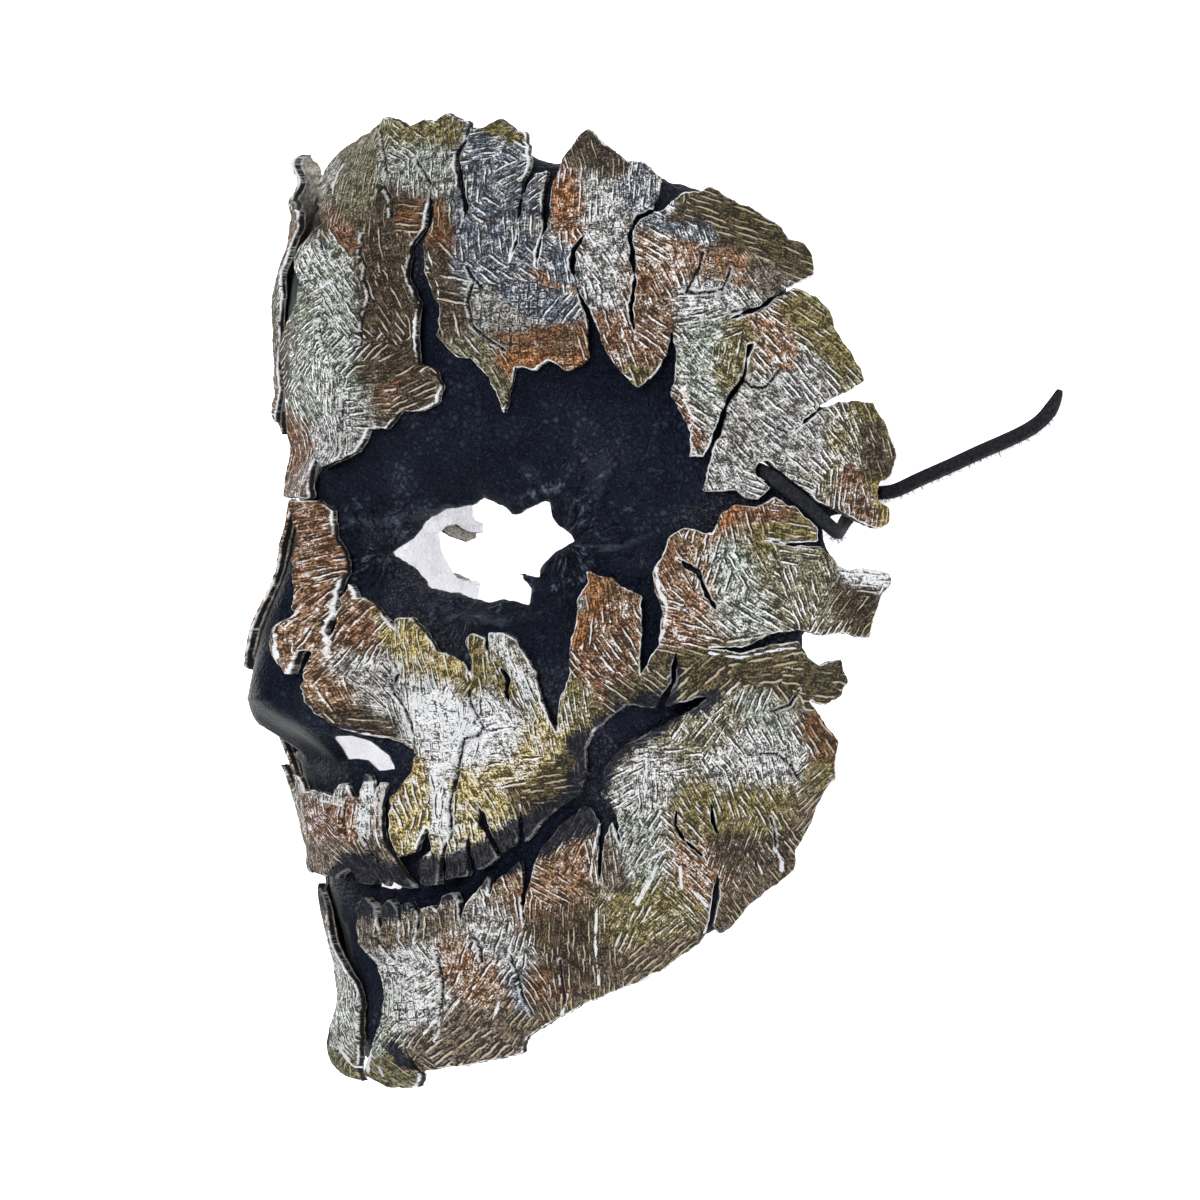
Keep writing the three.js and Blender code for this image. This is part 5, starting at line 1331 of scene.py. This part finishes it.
def on_floor(places, height):
    """The points at a height over the floor that the lines of sight through places meet."""
    start = laid_down(eye_point)
    rays = laid_down(eye_point + line_of_sight(places)) - start
    return start + rays * ((height - start[2]) / rays[:, 2])[:, None]


face_lace = flat(on_face(LACE_ON_FACE, SHEET_LIFT))
knots = np.concatenate([
    laid(face_lace[:1, 0] - 1, face_lace[:1, 1] + 1, np.array([LACE_START_DEPTH])),
    laid(face_lace[:, 0], face_lace[:, 1], np.full(len(face_lace), LACE_DEPTH)),
    np.array(LACE_IN_RIM), on_floor(LACE_ON_FLOOR, LACE_HEIGHT)])


def smooth_route(points, count):
    """Evenly spaced points along a centripetal curve through the given ones."""
    ends = np.concatenate([[2 * points[0] - points[1]], points, [2 * points[-1] - points[-2]]])
    fine = []
    for p0, p1, p2, p3 in zip(ends, ends[1:], ends[2:], ends[3:]):
        t1 = np.linalg.norm(p1 - p0) ** 0.5
        t2 = t1 + np.linalg.norm(p2 - p1) ** 0.5
        t3 = t2 + np.linalg.norm(p3 - p2) ** 0.5
        t = np.linspace(t1, t2, 12, endpoint=False)[:, None]
        a1 = (t1 - t) / t1 * p0 + t / t1 * p1
        a2 = (t2 - t) / (t2 - t1) * p1 + (t - t1) / (t2 - t1) * p2
        a3 = (t3 - t) / (t3 - t2) * p2 + (t - t2) / (t3 - t2) * p3
        b1 = (t2 - t) / t2 * a1 + t / t2 * a2
        b2 = (t3 - t) / (t3 - t1) * a2 + (t - t1) / (t3 - t1) * a3
        fine.append((t2 - t) / (t2 - t1) * b1 + (t - t1) / (t2 - t1) * b2)
    fine = np.concatenate(fine + [points[-1:]])
    length = np.concatenate([[0], np.cumsum(np.linalg.norm(np.diff(fine, axis=0), axis=1))])
    even = np.linspace(0, length[-1], count)
    return np.stack([np.interp(even, length, fine[:, k]) for k in range(3)], -1)


# The curve is eased a set number of times, which softens its tighter bends.
route = smooth_route(knots, LACE_POINTS)
for _ in range(LACE_EASINGS):
    route[1:-1] += (route[:-2] + route[2:] - 2 * route[1:-1]) / 4
lace_length = np.linalg.norm(np.diff(route, axis=0), axis=1).sum()
along = np.gradient(route, axis=0)
along /= np.linalg.norm(along, axis=1, keepdims=True)
wide = np.array([0, -1, 0]) + along * along[:, 1:2]
wide /= np.linalg.norm(wide, axis=1, keepdims=True)
thick = np.cross(along, wide)
angle = np.linspace(0, 2 * math.pi, LACE_SIDES, endpoint=False)
section = np.stack([np.sign(np.cos(angle)) * np.abs(np.cos(angle)) ** LACE_CORNERS,
                    np.sign(np.sin(angle)) * np.abs(np.sin(angle)) ** LACE_CORNERS], -1)
run = np.linspace(0, lace_length, len(route))
taper = np.sqrt(np.clip((lace_length + 0.4 - run) / LACE_TIP, 0.02, 1))
rings = (route[:, None]
         + wide[:, None] * (section[:, 0] * LACE_WIDTH / 2)[None, :, None] * taper[:, None, None]
         + thick[:, None] * (section[:, 1] * LACE_THICKNESS / 2)[None, :, None]
         * (0.4 + 0.6 * taper)[:, None, None])
lace_points = rings.reshape(-1, 3)
lace_faces = []
for start in range(0, (len(route) - 1) * LACE_SIDES, LACE_SIDES):
    for m in range(LACE_SIDES):
        near, far = start + m, start + (m + 1) % LACE_SIDES
        lace_faces.append((near, far, far + LACE_SIDES, near + LACE_SIDES))
lace_faces.append(tuple(range(LACE_SIDES))[::-1])
lace_faces.append(tuple((len(route) - 1) * LACE_SIDES + m for m in range(LACE_SIDES)))
lace_mesh = bpy.data.meshes.new("lace")
lace_mesh.from_pydata((lace_points * MM).tolist(), [], lace_faces)
lace_mesh.polygons.foreach_set("use_smooth", np.ones(len(lace_faces), bool))
lace = bpy.data.objects.new("lace", lace_mesh)
scene.collection.objects.link(lace)
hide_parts("lace_left")
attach(lace, "root")


def suede_fuzz(density, length, thickness, seed):
    """Geometry Nodes that stand short curved fibres on the rough edge of a piece."""
    tree = bpy.data.node_groups.new("suede_fuzz", "GeometryNodeTree")
    tree.is_modifier = True
    tree.interface.new_socket("Geometry", in_out="INPUT", socket_type="NodeSocketGeometry")
    for label, kind, value in (("Density", "NodeSocketFloat", density),
                               ("Length", "NodeSocketFloat", length),
                               ("Thickness", "NodeSocketFloat", thickness),
                               ("Seed", "NodeSocketInt", seed)):
        tree.interface.new_socket(label, in_out="INPUT", socket_type=kind).default_value = value
    tree.interface.new_socket("Geometry", in_out="OUTPUT", socket_type="NodeSocketGeometry")

    def node(kind, settings=None, **values):
        made = tree.nodes.new(kind)
        for key, value in (settings or {}).items():
            setattr(made, key, value)
        for key, value in values.items():
            socket = made.inputs[key.replace("_", " ")]
            if isinstance(value, bpy.types.NodeSocket):
                tree.links.new(value, socket)
            else:
                socket.default_value = value
        return made

    given = node("NodeGroupInput").outputs
    normal = node("GeometryNodeInputNormal").outputs[0]
    parts = node("ShaderNodeSeparateXYZ", Vector=normal).outputs
    rough = node("FunctionNodeCompare", {"operation": "LESS_THAN"}, A=parts["Y"], B=-0.45)
    points = node("GeometryNodeDistributePointsOnFaces", Mesh=given["Geometry"],
                  Selection=rough.outputs[0], Density=given["Density"], Seed=given["Seed"])
    line = node("GeometryNodeCurveQuadraticBezier", Resolution=4, Start=(0, 0, 0),
                Middle=(0, 0, 0.6), End=(0.5, 0, 1))
    outline = node("GeometryNodeCurvePrimitiveCircle", Resolution=3, Radius=given["Thickness"])
    fibre = node("GeometryNodeCurveToMesh", Curve=line.outputs[0],
                 Profile_Curve=outline.outputs[0], Fill_Caps=True)
    spin = node("FunctionNodeRandomValue", {"data_type": "FLOAT_VECTOR"}, Seed=given["Seed"])
    spin.inputs["Min"].default_value = (-0.7, -0.7, -3.1)
    spin.inputs["Max"].default_value = (0.7, 0.7, 3.1)
    turned = node("FunctionNodeRotateRotation", {"rotation_space": "LOCAL"},
                  Rotation=points.outputs["Rotation"], Rotate_By=spin.outputs["Value"])
    # Each fibre grows to between a third of the length and all of it.
    grown = node("FunctionNodeRandomValue", {"data_type": "FLOAT"}, Seed=given["Seed"])
    grown.inputs[2].default_value, grown.inputs[3].default_value = 0.3, 1.0
    size = node("ShaderNodeMath", {"operation": "MULTIPLY"})
    tree.links.new(grown.outputs[1], size.inputs[0])
    tree.links.new(given["Length"], size.inputs[1])
    planted = node("GeometryNodeInstanceOnPoints", Points=points.outputs["Points"],
                   Instance=fibre.outputs[0], Rotation=turned.outputs[0], Scale=size.outputs[0])
    solid = node("GeometryNodeRealizeInstances", Geometry=planted.outputs[0])
    finished = node("GeometryNodeSetMaterial", Geometry=solid.outputs[0])
    finished.inputs["Material"].default_value = suede
    tree.links.new(finished.outputs[0], node("NodeGroupOutput").inputs[0])
    return tree


lace_paint = Paint("lace_leather")
place = lace_paint.place()
fibre = lace_paint.noise(place, 1200, 3, 0.6)
suede = lace_paint.finish(
    Base_Color=lace_paint.mix(fibre.step(0.4, 0.7), (0.002, 0.0024, 0.004), (0.014, 0.016, 0.021)),
    Roughness=0.55 + 0.3 * fibre, Normal=lace_paint.bump(fibre, 0.6, 0.0004),
    Specular_IOR_Level=0.15)
lace_mesh.materials.append(suede)
grower = bpy.data.objects.new("fuzz_base", lace_mesh)
scene.collection.objects.link(grower)
fuzz = grower.modifiers.new("fuzz", "NODES")
fuzz.node_group = suede_fuzz(FUZZ_DENSITY, FUZZ_LENGTH, FUZZ_THICKNESS, FUZZ_SEED)
evaluated = grower.evaluated_get(bpy.context.evaluated_depsgraph_get())
fuzz_mesh = bpy.data.meshes.new_from_object(evaluated)
bpy.data.objects.remove(grower)
# No fibre reaches through the table.
for corner in fuzz_mesh.vertices:
    corner.co.z = max(corner.co.z, 0.1 * MM)
lace_fuzz = bpy.data.objects.new("lace_fuzz", fuzz_mesh)
scene.collection.objects.link(lace_fuzz)
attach(lace_fuzz, "root")

# The table, the light and the camera, which looks along the line of sight of the side drawing.
TABLE_SIZE = 6
LAMP_AIM = Vector((0, 0, 0.04))

bpy.ops.mesh.primitive_plane_add(size=TABLE_SIZE)
table = bpy.context.object
table.name = "table"
pale = Paint("pale_table")
table.data.materials.append(pale.finish(
    Base_Color=(0.8, 0.8, 0.8, 1), Roughness=0.9, Emission_Color=(1, 1, 1, 1),
    Emission_Strength=0.85))

world = bpy.data.worlds.new("studio")
scene.world = world
world.use_nodes = True
world.node_tree.nodes["Background"].inputs["Color"].default_value = (1, 1, 1, 1)
world.node_tree.nodes["Background"].inputs["Strength"].default_value = 0.14
scene.view_settings.view_transform = "Standard"


def soft_light(name, place, size, power):
    """A round lamp that faces the mask."""
    data = bpy.data.lights.new(name, "AREA")
    data.shape, data.size, data.energy = "DISK", size, power
    lamp = bpy.data.objects.new(name, data)
    lamp.location = place
    lamp.rotation_euler = (LAMP_AIM - Vector(place)).to_track_quat("-Z", "Y").to_euler()
    scene.collection.objects.link(lamp)


soft_light("key", (0.62, 0.22, 0.9), 0.5, 11.5)
soft_light("overhead", (-0.3, 0.5, 0.95), 0.5, 5)
soft_light("fill", (0.45, -0.75, 0.55), 0.5, 6)
soft_light("rim", (-1.1, 0.1, 0.3), 0.6, 6)

# The camera's own right, up and back, tipped over as the mask is.
turn = lambda v: laid_down(np.asarray(v, float)) - FACE_PLACE
right, up, back = turn(rightward), turn([0, 1, 0]), turn(sight)
camera_data = bpy.data.cameras.new("camera")
camera_data.lens_unit = "FOV"
camera_data.angle = 2 * math.atan(DRAWING_MIDDLE * DRAWING_SCALE / SIGHT_DISTANCE)
camera = bpy.data.objects.new("camera", camera_data)
place = laid_down(eye_point) * MM
rows = [(right[k], up[k], back[k], place[k]) for k in range(3)]
camera.matrix_world = Matrix(rows + [(0, 0, 0, 1)])
scene.collection.objects.link(camera)
scene.camera = camera
